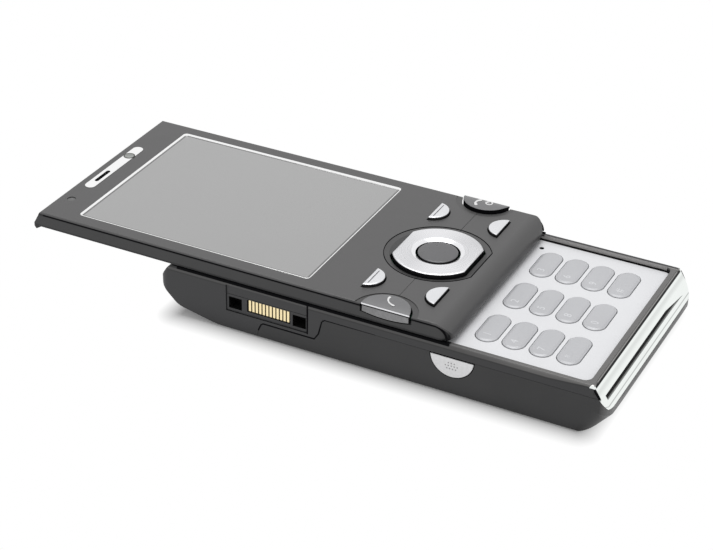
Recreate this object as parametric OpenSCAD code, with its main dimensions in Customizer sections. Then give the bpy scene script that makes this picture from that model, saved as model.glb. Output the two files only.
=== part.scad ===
// Slider phone, lying on its back with the upper half slid open.
// Units: millimetres. +Y is the earpiece end, +X the right side seen from the front, +Z out of the screen.
// The origin is the middle of the lower half's flat back face.

/* [Lower half] */
// Width of the lower half across the phone
body_w = 49; // [48.5:0.1:49.5]
// Length of the lower half from end to end
body_len = 97.4; // [97:0.1:98]
// Height of the lower half, from the back face to the rim round the keypad
body_h = 11.3; // [11.25:0.01:11.35]
// Thickness of the housing and battery cover walls
wall = 1.2; // [1.1:0.05:1.2]
// Radius of the long lower edges
body_edge_r = 0.9; // [0.8:0.05:1]

/* [Upper half] */
// Width of the sliding upper half
slider_w = 48.6; // [48.3:0.1:48.9]
// Lowest surface of the sliding upper half
slider_z0 = 11.55; // [11.5:0.01:11.6]
// Face of the front plate
slider_z1 = 15; // [14.95:0.01:15.05]
// Keypad end of the upper half in the open position
slider_y0 = -15.65; // [-15.8:0.05:-15.5]
// Earpiece end of the front plate in the open position
slider_y1 = 78.35; // [78.2:0.05:78.5]
// Distance that the upper half slides
slide_travel = 30.9; // [30.5:0.1:30.9]
// Thickness of the front plate
skin = 0.7; // [0.68:0.01:0.72]
// Radius of the rolled keypad end of the front plate
roll_r = 3.4; // [3.2:0.1:3.4]

/* [Display] */
// Width of the display window with its trim
window_w = 42.6; // [42:0.1:42.8]
// Length of the display window with its trim
window_l = 54.2; // [54:0.1:54.4]
// Middle of the display window along the phone
window_y = 43.5; // [43.4:0.05:43.6]
// Width of the bright line round the window
trim_w = 0.35; // [0.3:0.05:0.4]

/* [Number keys] */
// Length of a number key across the phone
key_l = 10.3; // [10:0.1:10.4]
// Width of a number key along the phone
key_w = 4.6; // [4.4:0.1:4.6]
// Spacing of the three columns
key_pitch_x = 13.63; // [13.5:0.01:13.7]
// Spacing of the four rows
key_pitch_y = 5.64; // [5.6:0.01:5.7]
// Middle of the first row along the phone
key_row_y = -20.18; // [-20.3:0.01:-20.1]
// Clearance round each number key
key_gap = 0.15; // [0.12:0.01:0.18]
// Distance that every key travels
key_travel = 0.3; // [0.25:0.05:0.3]

/* [Navigation keys] */
// Radius of the navigation ring
nav_r = 9.3; // [9.2:0.05:9.4]
// Half of the ring's height between its two flats
nav_flat = 7.95; // [7.85:0.05:8]
// Middle of the navigation ring along the phone
nav_y = -1.85; // [-1.9:0.05:-1.8]
// Radius of the round centre key
centre_r = 4.1; // [4:0.05:4.2]
// Radius of the four half-round keys beside the ring
soft_r = 3.5; // [3.4:0.02:3.52]
// Distance from their circle's middle to their straight edge
soft_inset = 0.54; // [0.5:0.02:0.6]
// Distance of those keys from the middle line
soft_x = 15.2; // [15:0.1:15.3]
// Distance of their straight edges from the middle of the ring
soft_edge = 7.75; // [7.7:0.05:7.8]
// Radius of the call and end keys on the side edges
call_r = 5.2; // [5.1:0.02:5.24]

/* [Hidden] */
$fn = 48;

// Lower half: ends, side and levels
end_y = body_len / 2;
half_w = body_w / 2;
rim_end = -end_y + 3.65;
lip = [-end_y - 0.3, 5.2];
foot_y = -end_y + 4.1;
body_side_points = [
    [rim_end, body_h], lip, [foot_y, 0],
    [end_y - 15, 0], [end_y - 3.8, 2.4], [end_y + 1, 7], [end_y - 1.8, body_h]
];
body_side_radii = [0.3, 1.2, 5.5, 8, 4, 2, 1.5];
rim_edge_r = 0.6;
bow_r = 380;
keypad_corner_r = 3;
earpiece_corner_r = 2;
earpiece_end = end_y + 0.6;
foot_edge_r = 3.2;
seam = 0.06;
fit_gap = 0.3;

// Battery cover: the zone that it takes out of the lower half, seen from the side
cover_top = 8.75;
cover_step = 3.75;
cover_zone_points = [
    [26.45, -1], [26.2, 1.7], [25.25, cover_step], [13.4, cover_step], [12.4, 5.2],
    [11.6, cover_top], [-60, cover_top], [-60, -1]
];

// Inside of the lower half
cavity_x = 22.2;
cavity_top = 9.2;
cavity_y0 = -43.2;
board_z = 7.3;
board_t = 0.7;
board_x = 21.2;
screw_places = [[18.5, 28.5], [-18.5, 28.5], [18.5, -9.5], [-18.5, -9.5]];
screw_r = 0.7;

// Keypad: the plate lies in a recess inside the rim
plate_x = 22.65;
plate_y0 = -end_y + 4.8;
plate_y1 = -12;
plate_z = 10.35;
plate_t = 0.6;
plate_corner = 1.2;
rim_x = 23.35;
rim_corner = 1.7;
groove_depth = 0.25;
key_top = 10.65;
key_flange = 0.3;
mic_place = [19.6, -16.75];
mic_r = 0.5;
dome_z = 8.35;

// Chrome trim on the keypad end
trim_x = 22.6;
trim_low = 6.1;
trim_top = -0.27;
trim_plate = 0.48;
tip_x = 23.2;
tip_reach = 1.8;
tip_z = 10.7;
slot_x = [-22.3, 20.4];
slot_z = [7.55, 8.5];
slot_taper = 9;
slot_depth = 0.1;

// Rails that join the two halves
rail_x = 22.1;
rail_deck = 10.4;
rail_sheet = 0.5;
rail_web = [20.9, 21.3];
rail_flange = [12.05, 12.3];
rail_out = 22.3;
rail_y0 = -8;
rail_y1 = 42;
groove_y = [rail_y0 - 0.5, rail_y1 + slide_travel + 0.4];
groove_top = 12.5;
groove_lip = 11.85;
deck_top = 12.8;
back_plate_x = 20.6;
back_plate_top = 12;

// Upper half
slider_half = slider_w / 2;
lip_y = slider_y1 + 1.9;
lip_corner_r = 0.6;
slider_core_w = slider_w - 0.2;
skin_z = slider_z1 - skin;
pocket_x = 22.9;
pocket_y0 = slider_y0 + 1.7;
pocket_y1 = slider_y1 - 1.1;
split_y = -2;
inner_roll_r = roll_r - skin;
frame_roll_r = inner_roll_r + 0.15;
frame_roll_centre = [slider_y0 + skin + frame_roll_r, skin_z - frame_roll_r];
front_corner_r = 2.6;
engrave = 0.12;
glass_top = slider_z1 - 0.25;
board_top = 13;
dome_top = 13.1;

// Keys of the upper half
soft_top = 15.65;
soft_gap = 0.27;
call_x = 24.95;
call_y = -1.95;
call_gap = 0.35;
call_top = 15.75;
call_side = 24.45;
call_bottom = 13.5;
call_floor = 13.1;
lens_half = 5;
lens_z = [12.95, 13.45, 14.7];
nav_gap = 0.45;
nav_top = 15.6;
nav_bottom = 13.95;
centre_hole = 4.6;
centre_slope = 5.3;
dish_r = 11.1;
dish_flat = 9.75;
dish_depth = 0.3;

// Side and end fittings
music_y = -16.45;
music_r = 4.57;
music_z = 8.85;
music_top = 8.45;
key_proud = 0.2;
side_key_inner = 23.45;
camera_key_y = -34.5;
camera_key_z = 6.5;
camera_key_size = [6.6, 2.2];
volume_y = 20;
volume_z = 7.2;
volume_size = [11.6, 2.3];
volume_pivot_x = 21.6;
port_y = [14.85, 33.55];
port_z = [4.5, 10.55];
port_face = -half_w + 0.25;
latch_z = [5.2, 7.85];
contact_y = [19.1, 28.6];
contact_z = [5.6, 8.1];
contact_count = 12;
jack_place = [13, 6.3];
jack_bore_r = 1.76;
jack_depth = 14;
jack_face = end_y - 0.45;
jack_body_y = 44;
camera_place = [0, 31.3];
camera_ring_r = 4.5;
camera_glass_r = 3;
flash_place = [9, 31.3];
flash_r = 1.2;

// Stand on the back
stand_x = -6;
stand_z = 0.52;
stand_reach = 14;
stand_y = [-28, -2];
knuckle_r = 0.42;
pin_r = 0.25;

// Middle of earpiece row and its pieces
earpiece_y = 75.6;
earpiece_size = [21, 2.4];
front_camera_x = 5.9;
front_camera_r = 0.95;
sensor_place = [-16.3, 75.75];
sensor_r = 0.95;

function unit(v) = v / norm(v);

// Half of the angle at b between its neighbours a and c
function half_angle(a, b, c) = acos(unit(a - b) * unit(c - b)) / 2;

// Where an arc of radius r in the corner at b has its centre
function arc_centre(a, b, c, r) = b + unit(unit(a - b) + unit(c - b)) * r / sin(half_angle(a, b, c));

// Where that arc meets the side from b to a
function arc_end(a, b, c, r) = b + unit(a - b) * r / tan(half_angle(a, b, c));

// Convex outline whose corners are true arcs; a radius of 0 leaves a corner sharp
module rounded_outline(points, radii) {
    n = len(points);
    polygon([
        for (i = [0 : n - 1])
            let (a = points[(i + n - 1) % n], b = points[i], c = points[(i + 1) % n], r = radii[i])
                each r > 0 ? [arc_end(a, b, c, r), arc_centre(a, b, c, r), arc_end(c, b, a, r)] : [b]
    ]);
    for (i = [0 : n - 1])
        if (radii[i] > 0)
            translate(arc_centre(points[(i + n - 1) % n], points[i], points[(i + 1) % n], radii[i]))
                circle(r = radii[i]);
}

module rounded_rect(w, l, r) {
    rounded_outline([[-w / 2, -l / 2], [w / 2, -l / 2], [w / 2, l / 2], [-w / 2, l / 2]], [r, r, r, r]);
}

// Oblong with round ends, long along X
module oblong(l, w) {
    square([l - w, w], center = true);
    for (side = [-1, 1])
        translate([side * (l - w) / 2, 0])
            circle(d = w);
}

// Circle cut off by two flats above and below
module flatted_circle(r, flat) {
    intersection() {
        circle(r = r);
        square([2 * r + 2, 2 * flat], center = true);
    }
}

// A flat outline in Y and Z, extruded across the phone
module along_x(width) {
    rotate([90, 0, 90])
        linear_extrude(width, center = true)
            children();
}

// A flat outline in X and Z, extruded along the phone from y0 to y1
module along_y(y0, y1) {
    translate([0, y1, 0])
        rotate([90, 0, 0])
            linear_extrude(y1 - y0)
                children();
}

// A flat outline in X and Y between two heights
module between(z0, z1) {
    translate([0, 0, z0])
        linear_extrude(z1 - z0)
            children();
}

module block(low, high) {
    translate(low)
        cube(high - low);
}

// Whole outside of the lower half
module body_outside() {
    intersection() {
        along_x(body_w + 2)
            rounded_outline(body_side_points, body_side_radii);
        along_y(-end_y - 2, end_y + 2)
            rounded_outline(
                [[-half_w, 0], [half_w, 0], [half_w, body_h], [-half_w, body_h]],
                [body_edge_r, body_edge_r, rim_edge_r, rim_edge_r]
            );
        between(-1, body_h + 1)
            body_plan(0);
        foot_prism(0);
    }
}

// Outline of the lower half from above, shrunk by inset: the keypad end bows out between its round corners
module body_plan(inset) {
    half = half_w - inset;
    bow = bow_r - inset;
    bow_y = lip[0] + bow_r;
    corner_x = half_w - keypad_corner_r;
    far_y = earpiece_end - inset;
    corner_y = bow_y - sqrt(pow(bow_r - keypad_corner_r, 2) - pow(corner_x, 2));
    // the corner arcs run into the bow here
    join_x = corner_x * bow / (bow_r - keypad_corner_r);
    intersection() {
        translate([0, bow_y])
            circle(r = bow, $fn = 720);
        union() {
            rounded_outline(
                [[-half, corner_y], [half, corner_y], [half, far_y], [-half, far_y]],
                [0, 0, earpiece_corner_r - inset, earpiece_corner_r - inset]
            );
            translate([-join_x, lip[0] - 1])
                square([2 * join_x, corner_y - lip[0] + 2]);
            for (side = [-1, 1])
                translate([side * corner_x, corner_y])
                    circle(r = keypad_corner_r - inset);
        }
    }
}

// Long prism whose underside is the slope below the keypad end, with round edges towards the sides
module foot_prism(inset) {
    half = half_w - inset;
    low = inset > 0 ? inset - 0.25 : 0;
    translate([0, foot_y, 0])
        rotate([atan2(foot_y - lip[0], lip[1]), 0, 0])
            linear_extrude(130, center = true)
                rounded_outline(
                    [[-half, low], [half, low], [half, 120], [-half, 120]],
                    [foot_edge_r - inset, foot_edge_r - inset, 0, 0]
                );
}

// Space inside the battery cover, shrunk by gap
module cover_inside(gap) {
    intersection() {
        along_x(body_w - 2 * wall - 2 * gap)
            rounded_outline(
                [
                    [-end_y + 3.2 + gap, 10], [-end_y + 1.1 + gap, 5.3], [foot_y + 0.5 + gap, wall + gap],
                    [40, wall + gap], [40, 10]
                ],
                [0, 0, 4.5, 0, 0]
            );
        between(-1, body_h)
            body_plan(wall + gap);
        foot_prism(wall + gap);
    }
}

module cover_zone() {
    along_x(body_w + 4)
        polygon(cover_zone_points);
}

// Space behind and in front of the chrome trim
module trim_zone(grow) {
    slope = (rim_end - lip[0]) / (body_h - lip[1]);
    back = rim_end + trim_top + grow;
    along_x(2 * (trim_x + grow))
        polygon([
            [rim_end + grow, body_h + 2], [-end_y - 8, body_h + 2], [-end_y - 8, trim_low - grow],
            [rim_end - 2 + grow, trim_low - grow], [rim_end + grow, body_h - 1.7]
        ]);
    // thin plate that follows the slope out to the corners
    along_x(body_w + 4)
        polygon([
            [back, body_h + 2], [-end_y - 8, body_h + 2], [-end_y - 8, trim_low - grow],
            [rim_end + trim_plate + grow - slope * (body_h - trim_low + grow), trim_low - grow],
            [back, body_h - (trim_plate - trim_top) / slope]
        ]);
    // tips that reach round the corners of the rim
    for (side = [-1, 1])
        mirror([side < 0 ? 1 : 0, 0, 0])
            between(tip_z - grow, body_h + 2)
                polygon([
                    [tip_x - grow, back - 0.1], [tip_x - grow, back],
                    [half_w + 1, back + tip_reach + grow], [half_w + 1, back - 0.1]
                ]);
}

module screw_holes(z0, z1) {
    for (place = screw_places)
        translate([place[0], place[1], z0])
            cylinder(r = screw_r + 0.05, h = z1 - z0);
}

// Cut through a side wall for a side key: a flat outline in Y and Z
module side_cut(side, x0, x1) {
    translate([side * (x0 + x1) / 2, 0, 0])
        along_x(x1 - x0)
            children();
}

module main_housing() {
    color([0.2, 0.2, 0.21])
        difference() {
            union() {
                difference() {
                    body_outside();
                    cover_zone();
                }
                // chassis inside the battery cover
                intersection() {
                    cover_inside(fit_gap);
                    block([-half_w, -end_y, 2], [half_w, 26, cover_top + 0.5]);
                }
                // tongue that closes the cover's notch above the camera key
                intersection() {
                    body_outside();
                    block([22.6, camera_key_y - 3.5, 7.85], [half_w, camera_key_y + 3.5, cover_top + 0.5]);
                }
            }
            // room for the board, the battery and the sockets
            block([-cavity_x, cavity_y0, -2], [cavity_x, 26.3, cavity_top]);
            along_x(2 * cavity_x)
                polygon([[26, 1.4], [35, 1.4], [43.6, 3], [46.4, 6.2], [46, cavity_top], [26, cavity_top]]);
            // recess for the keypad plate with a groove round it, and the opening that its keys work through
            translate([0, (plate_y0 + plate_y1) / 2, 0]) {
                between(plate_z - plate_t, body_h + 1)
                    rounded_rect(2 * plate_x + 0.1, plate_y1 - plate_y0 + 0.1, plate_corner);
                between(plate_z - groove_depth, body_h + 1)
                    rounded_rect(2 * rim_x, plate_y1 - plate_y0 + 0.1, rim_corner);
            }
            block([-20.9, plate_y0 + 1.2, cavity_top - 1], [20.9, plate_y1 - 1.2, plate_z]);
            // recess for the rail plate
            block([-rail_x - 0.05, plate_y1, rail_deck], [rail_x + 0.05, end_y - 3.5, body_h + 1]);
            trim_zone(0.05);
            // speaker chamber and its duct behind the trim
            block([-8.2, -46.2, 6.7], [8.2, cavity_y0 + 1, cavity_top]);
            block([slot_x[0], -48, slot_z[0] - 0.1], [slot_x[1], -45.1, slot_z[1] + 0.1]);
            // connector opening in the left wall
            block([-half_w - 1, port_y[0], port_z[0]], [-23.4, port_y[1], port_z[1]]);
            block([-24, port_y[0] + 0.2, port_z[0]], [-cavity_x + 1, port_y[1] - 0.2, cavity_top]);
            // volume rocker opening in the right wall
            side_cut(1, cavity_x - 1, half_w + 1)
                translate([volume_y, volume_z])
                    oblong(volume_size[0] + 0.4, volume_size[1] + 0.4);
            // stems of the music key and the camera key
            side_cut(-1, cavity_x - 1, half_w)
                translate([music_y, 6.3])
                    square([3.2, 1.8], center = true);
            side_cut(1, cavity_x - 1, half_w)
                translate([camera_key_y, camera_key_z])
                    square([3.2, 1.8], center = true);
            // way in for the memory card, behind the battery cover
            block([-half_w, -4.4, 6.3], [-cavity_x + 1, 8, 7.1]);
            // headset socket in the earpiece end
            translate([jack_place[0], 44, jack_place[1]])
                rotate([-90, 0, 0])
                    cylinder(r = 2.75, h = 10);
            // camera and flash windows in the back
            translate([camera_place[0], camera_place[1], -1])
                cylinder(r = camera_ring_r + 0.05, h = 5);
            translate([flash_place[0], flash_place[1], -1])
                cylinder(r = flash_r + 0.05, h = 5);
            screw_holes(cavity_top - 0.5, rail_deck - 0.2);
        }
    // bosses that the board is screwed to
    color([0.2, 0.2, 0.21])
        difference() {
            for (place = screw_places)
                translate([place[0], place[1], board_z + board_t])
                    cylinder(r = 1.4, h = cavity_top - board_z - board_t + 0.1);
            screw_holes(board_z, cavity_top + 0.5);
        }
}

module battery_cover() {
    color([0.19, 0.19, 0.19])
        difference() {
            union() {
                difference() {
                    intersection() {
                        body_outside();
                        cover_zone();
                        translate([0, -seam, -seam])
                            cover_zone();
                    }
                    cover_inside(0);
                }
                // thicker floor over the stand's recess
                block(
                    [stand_x - 2, stand_y[0] - 2, wall - 0.2],
                    [stand_x + stand_reach + 2, stand_y[1] + 2, wall + 0.5]
                );
            }
            trim_zone(0.1);
            // recess and finger notch for the stand
            block(
                [stand_x - 0.9, stand_y[0] - 0.3, -1],
                [stand_x + stand_reach + 0.3, stand_y[1] + 0.3, 1.05]
            );
            block([stand_x + stand_reach, -18, -1], [stand_x + stand_reach + 2.4, -12, 0.7]);
            translate([stand_x, stand_y[0] - 1.3, stand_z])
                rotate([-90, 0, 0])
                    cylinder(r = pin_r + 0.01, h = stand_y[1] - stand_y[0] + 2.6);
            // notches for the music key and the camera key, open at the top edge
            side_cut(-1, 22, half_w + 1)
                intersection() {
                    translate([music_y, music_z])
                        circle(r = music_r + 0.15);
                    translate([music_y - 6, 0])
                        square([12, cover_top + 1]);
                }
            side_cut(1, 22, half_w + 1) {
                translate([camera_key_y, camera_key_z])
                    oblong(camera_key_size[0] + 0.4, camera_key_size[1] + 0.4);
                translate([camera_key_y - camera_key_size[0] / 2 - 0.35, camera_key_z])
                    square([camera_key_size[0] + 0.7, 5]);
            }
            // clearance round the camera ring
            translate([camera_place[0], camera_place[1], -1])
                cylinder(r = camera_ring_r + 0.2, h = 4);
        }
}

module keypad_plate() {
    color([0.88, 0.89, 0.9])
        difference() {
            translate([0, (plate_y0 + plate_y1) / 2, 0])
                between(plate_z - plate_t, plate_z)
                    rounded_rect(2 * plate_x, plate_y1 - plate_y0 - 0.1, plate_corner - 0.05);
            for (column = [-1 : 1], row = [0 : 3])
                translate([column * key_pitch_x, key_row_y - row * key_pitch_y, 0])
                    between(plate_z - 1, plate_z + 1)
                        oblong(key_l + 2 * key_gap, key_w + 2 * key_gap);
            translate([mic_place[0], mic_place[1], plate_z - 1])
                cylinder(r = mic_r, h = 2);
        }
}

module number_key(column, row) {
    flange_top = plate_z - plate_t - key_travel;
    color([0.74, 0.75, 0.76])
        translate([(column - 1) * key_pitch_x, key_row_y - row * key_pitch_y, 0]) {
            between(flange_top - 0.4, key_top)
                oblong(key_l, key_w);
            between(flange_top - 0.4, flange_top)
                oblong(key_l + 2 * key_flange, key_w + 2 * key_flange);
            translate([0, 0, dome_z + key_travel + 0.05])
                cylinder(r = 1, h = flange_top - dome_z - key_travel - 0.2);
        }
}

module key_dome_sheet() {
    sheet_z = board_z + board_t;
    color([0.8, 0.8, 0.75]) {
        block([-20.5, -42.5, sheet_z], [20.5, -13.5, sheet_z + 0.15]);
        for (column = [-1 : 1], row = [0 : 3])
            translate([column * key_pitch_x, key_row_y - row * key_pitch_y, sheet_z + 0.1])
                cylinder(r = 2, h = dome_z - sheet_z - 0.1);
    }
}

module main_board() {
    color([0.1, 0.35, 0.2])
        difference() {
            union() {
                block([-board_x, -42.8, board_z], [board_x, 31, board_z + board_t]);
                // chips above the board and the battery contact block below it
                block([-15, -5, board_z + board_t - 0.1], [-4, 6, board_z + board_t + 0.9]);
                block([3, -6, board_z + board_t - 0.1], [12, 3, board_z + board_t + 0.8]);
                block([-9, 12, board_z + board_t - 0.1], [8, 24, board_z + board_t + 1]);
                block([-4.5, -33.2, 4], [4.5, -31.2, board_z + 0.1]);
            }
            screw_holes(board_z - 1, board_z + board_t + 1);
        }
}

module shield_can() {
    color([0.75, 0.76, 0.78])
        difference() {
            block([-15, -42.4, 5.9], [15, -33.6, board_z]);
            block([-14.8, -42.2, 6.1], [14.8, -33.8, board_z + 1]);
        }
}

module battery() {
    color([0.35, 0.37, 0.4])
        translate([0, -11.5, 0])
            between(1.9, 6.05)
                rounded_rect(34, 39, 1.5);
}

module sim_holder() {
    color([0.72, 0.73, 0.75])
        difference() {
            block([-13.4, 9.5, 5.8], [13.4, 25, board_z]);
            block([-12.7, 10.4, 6.2], [12.7, 26, 7.05]);
            block([-9, 11, 5], [9, 26, 6.3]);
        }
}

module memory_card_socket() {
    color([0.68, 0.69, 0.71])
        difference() {
            block([-21.9, -5, 6.15], [-9, 8.6, board_z]);
            block([-23, -4.2, 6.4], [-10, 7.8, 7]);
        }
}

// Sound slot seen from the keypad end, shrunk by inset; it runs out in a point on the right
module slot_outline(inset) {
    low = slot_z[0] + inset;
    high = slot_z[1] - inset;
    polygon([
        [slot_x[0] + inset, low], [slot_x[1] - 2 * slot_taper * inset, low],
        [slot_x[1] - slot_taper - inset, high], [slot_x[0] + inset, high]
    ]);
}

module end_trim() {
    color([0.92, 0.94, 0.93])
        difference() {
            intersection() {
                body_outside();
                trim_zone(0);
            }
            along_y(-end_y - 3, -40)
                slot_outline(0);
        }
}

module end_speaker() {
    color([0.08, 0.08, 0.09]) {
        block([-8, -45.3, 6.9], [8, cavity_y0, 9]);
        // nose that fills the slot to just below the slope of the trim
        intersection() {
            along_y(-end_y - 1, -45.2)
                slot_outline(0.03);
            along_x(body_w)
                polygon([
                    [-40, body_h], [rim_end + slot_depth, body_h],
                    [lip[0] + slot_depth, lip[1]], [-40, lip[1]]
                ]);
        }
    }
}

module connector_block() {
    color([0.1, 0.1, 0.1])
        difference() {
            union() {
                block(
                    [port_face, port_y[0] + 0.05, port_z[0] + 0.05],
                    [-23.45, port_y[1] - 0.05, port_z[1] - 0.05]
                );
                block([-24, port_y[0] + 0.3, port_z[0] + 0.1], [-19.9, port_y[1] - 0.3, cavity_top - 0.1]);
            }
            // latch holes at both ends of the contact row
            for (y0 = [port_y[0] + 0.55, port_y[1] - 3.55])
                block([-26, y0, latch_z[0]], [-21.2, y0 + 3, latch_z[1]]);
            block(
                [-26, contact_y[0] - 0.2, contact_z[0] - 0.2],
                [-23.8, contact_y[1] + 0.2, contact_z[1] + 0.1]
            );
            // step line across the face above the contacts
            block([-26, port_y[0], 8.4], [port_face + 0.1, port_y[1], 8.5]);
            // room for the board's edge and the screw beside it
            block([-board_x - 0.1, 10, board_z - 0.1], [-15, 31.1, board_z + board_t + 0.1]);
        }
}

module connector_contacts() {
    pitch = (contact_y[1] - contact_y[0]) / contact_count;
    color([0.85, 0.68, 0.3])
        for (i = [0 : contact_count - 1])
            block(
                [-24.1, contact_y[0] + (i + 0.18) * pitch, contact_z[0]],
                [-23.8, contact_y[0] + (i + 0.82) * pitch, contact_z[1]]
            );
}

// Stem and inner flange of a key on a side wall; side is -1 for the left wall
module side_stem(side, y, z) {
    side_cut(side, 21.8, side_key_inner + 0.1)
        translate([y, z])
            square([2.6, 1.4], center = true);
    side_cut(side, 21.7, 22)
        translate([y, z - 0.1])
            square([4.4, 1.7], center = true);
}

module music_key() {
    color([0.88, 0.88, 0.9]) {
        side_cut(-1, side_key_inner, half_w + key_proud)
            intersection() {
                translate([music_y, music_z])
                    circle(r = music_r);
                translate([music_y - 6, 0])
                    square([12, music_top]);
            }
        side_stem(-1, music_y, 6.3);
    }
}

module volume_rocker() {
    color([0.3, 0.3, 0.31]) {
        side_cut(1, 21.8, half_w + 0.25)
            translate([volume_y, volume_z])
                oblong(volume_size[0], volume_size[1]);
        side_cut(1, 21.6, 21.95)
            translate([volume_y, volume_z])
                square([13.2, 3], center = true);
        // round rib that the rocker tilts on
        translate([volume_pivot_x, volume_y, volume_z - 1.5])
            cylinder(r = 0.35, h = 3);
    }
}

module camera_key() {
    color([0.3, 0.3, 0.31]) {
        side_cut(1, side_key_inner, half_w + key_proud)
            translate([camera_key_y, camera_key_z])
                oblong(camera_key_size[0], camera_key_size[1]);
        side_stem(1, camera_key_y, camera_key_z);
    }
}

module headset_jack() {
    color([0.12, 0.12, 0.12])
        difference() {
            union() {
                translate([jack_place[0], jack_body_y - 0.1, jack_place[1]])
                    rotate([-90, 0, 0])
                        cylinder(r = 2.7, h = jack_face - jack_body_y + 0.1);
                block([jack_place[0] - 3.4, 33.5, 3.8], [jack_place[0] + 3.4, jack_body_y, 9.1]);
            }
            translate([jack_place[0], jack_face - jack_depth, jack_place[1]])
                rotate([-90, 0, 0])
                    cylinder(r = jack_bore_r, h = jack_depth + 2);
        }
}

module camera_bezel() {
    color([0.75, 0.76, 0.78])
        translate([camera_place[0], camera_place[1], 0])
            difference() {
                translate([0, 0, 0.1])
                    cylinder(r = camera_ring_r, h = 1.2);
                translate([0, 0, -1])
                    cylinder(r = camera_glass_r, h = 4);
            }
}

module camera_lens() {
    color([0.1, 0.12, 0.18])
        translate([camera_place[0], camera_place[1], 0.5])
            cylinder(r = camera_glass_r, h = 0.7);
}

module camera_module() {
    color([0.15, 0.15, 0.16])
        translate([camera_place[0], camera_place[1], 0]) {
            block([-4.2, -4.2, 2.4], [4.2, 4.2, 7]);
            translate([0, 0, 1.4])
                cylinder(r = 2.8, h = 1.1);
        }
}

module flash_lens() {
    color([0.95, 0.95, 0.85])
        translate([flash_place[0], flash_place[1], 0.1])
            cylinder(r = flash_r, h = 1.2);
}

module stand() {
    color([0.7, 0.71, 0.73])
        difference() {
            union() {
                block([stand_x, stand_y[0], 0.1], [stand_x + stand_reach, stand_y[1], 0.85]);
                translate([stand_x, stand_y[0], stand_z])
                    rotate([-90, 0, 0])
                        cylinder(r = knuckle_r, h = stand_y[1] - stand_y[0]);
            }
            translate([stand_x, stand_y[0] - 1, stand_z])
                rotate([-90, 0, 0])
                    cylinder(r = pin_r + 0.03, h = stand_y[1] - stand_y[0] + 2);
        }
}

module stand_pin() {
    color([0.8, 0.8, 0.82])
        translate([stand_x, stand_y[0] - 1.2, stand_z])
            rotate([-90, 0, 0])
                cylinder(r = pin_r, h = stand_y[1] - stand_y[0] + 2.4);
}

module vibration_motor() {
    color([0.7, 0.7, 0.72])
        translate([-18, 40, 5.5])
            rotate([0, 90, 0]) {
                cylinder(r = 2, h = 8);
                translate([0, 0, 8])
                    cylinder(r = 0.4, h = 1);
                translate([0, 0, 9])
                    half_weight();
            }
}

// Off-centre weight on the motor shaft
module half_weight() {
    intersection() {
        cylinder(r = 1.9, h = 3);
        block([-0.6, -3, -1], [3, 3, 4]);
    }
}

module case_screws() {
    color([0.6, 0.6, 0.62])
        for (place = screw_places)
            translate([place[0], place[1], 0])
                difference() {
                    union() {
                        translate([0, 0, board_z - 0.6])
                            cylinder(r = 1.2, h = 0.6);
                        translate([0, 0, board_z - 0.1])
                            cylinder(r = screw_r, h = 2.7);
                    }
                    translate([0, 0, board_z - 0.9])
                        cylinder(r = 0.5, h = 0.6, $fn = 6);
                }
}

module base_rail_plate() {
    deck = rail_deck + rail_sheet;
    color([0.55, 0.56, 0.58]) {
        difference() {
            block([-rail_x, plate_y1 + 0.05, rail_deck], [rail_x, end_y - 3.6, deck]);
            // slot that passes the flat cable
            block([-6, 14, rail_deck - 1], [6, 18, deck + 1]);
        }
        for (side = [-1, 1])
            mirror([side < 0 ? 1 : 0, 0, 0]) {
                block([rail_web[0], rail_y0, deck - 0.1], [rail_web[1], rail_y1, rail_flange[1]]);
                block([rail_web[0], rail_y0, rail_flange[0]], [rail_out, rail_y1, rail_flange[1]]);
            }
    }
}

// Whole outside of the upper half, from the given half width
module slider_outside(half) {
    intersection() {
        union() {
            intersection() {
                along_x(2 * half)
                    rounded_outline(
                        [
                            [slider_y0, slider_z0], [slider_y0, slider_z1],
                            [slider_y1, slider_z1], [lip_y, slider_z0]
                        ],
                        [0, roll_r, 0.3, 0]
                    );
                // the circle of the rolled end reaches below the slider, so it is cut off there
                block([-half - 1, slider_y0 - 1, slider_z0], [half + 1, lip_y + 1, slider_z1 + 1]);
            }
            // lip that hooks down past the lower half when it is closed
            along_x(2 * half)
                polygon([
                    [lip_y - 2, slider_z0], [lip_y - 1.8, slider_z0 + 0.6],
                    [lip_y - 0.2, slider_z0 + 0.6], [lip_y, slider_z0], [lip_y - 0.8, slider_z0 - 0.75]
                ]);
        }
        along_y(slider_y0 - 2, lip_y + 2)
            rounded_outline(
                [[-half, 5], [half, 5], [half, slider_z1], [-half, slider_z1]],
                [0, 0, 0.35, 0.35]
            );
        between(5, 20)
            rounded_outline(
                [[-half, slider_y0], [half, slider_y0], [half, lip_y], [-half, lip_y]],
                [front_corner_r, front_corner_r, lip_corner_r, lip_corner_r]
            );
    }
}

// Everything of the upper half that lies inside the front plate
module under_skin(width) {
    along_x(width)
        rounded_outline(
            [[slider_y0 + skin, 5], [slider_y0 + skin, skin_z], [lip_y + 5, skin_z], [lip_y + 5, 5]],
            [0, inner_roll_r, 0, 0]
        );
}

module call_notch(side, extra, z0) {
    translate([side * call_x, call_y, z0])
        cylinder(r = call_r + extra, h = 6);
}

// Lens-shaped face of a call or end key on the side wall, grown by extra all round
module lens_outline(extra) {
    drop = lens_z[1] - lens_z[0];
    lens_r = (lens_half * lens_half + drop * drop) / (2 * drop);
    intersection() {
        translate([call_y, lens_z[0] + lens_r])
            circle(r = lens_r + extra, $fn = 360);
        translate([call_y - lens_half - extra, lens_z[0] - extra])
            square([2 * (lens_half + extra), lens_z[2] - lens_z[0] + extra]);
    }
}

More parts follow.
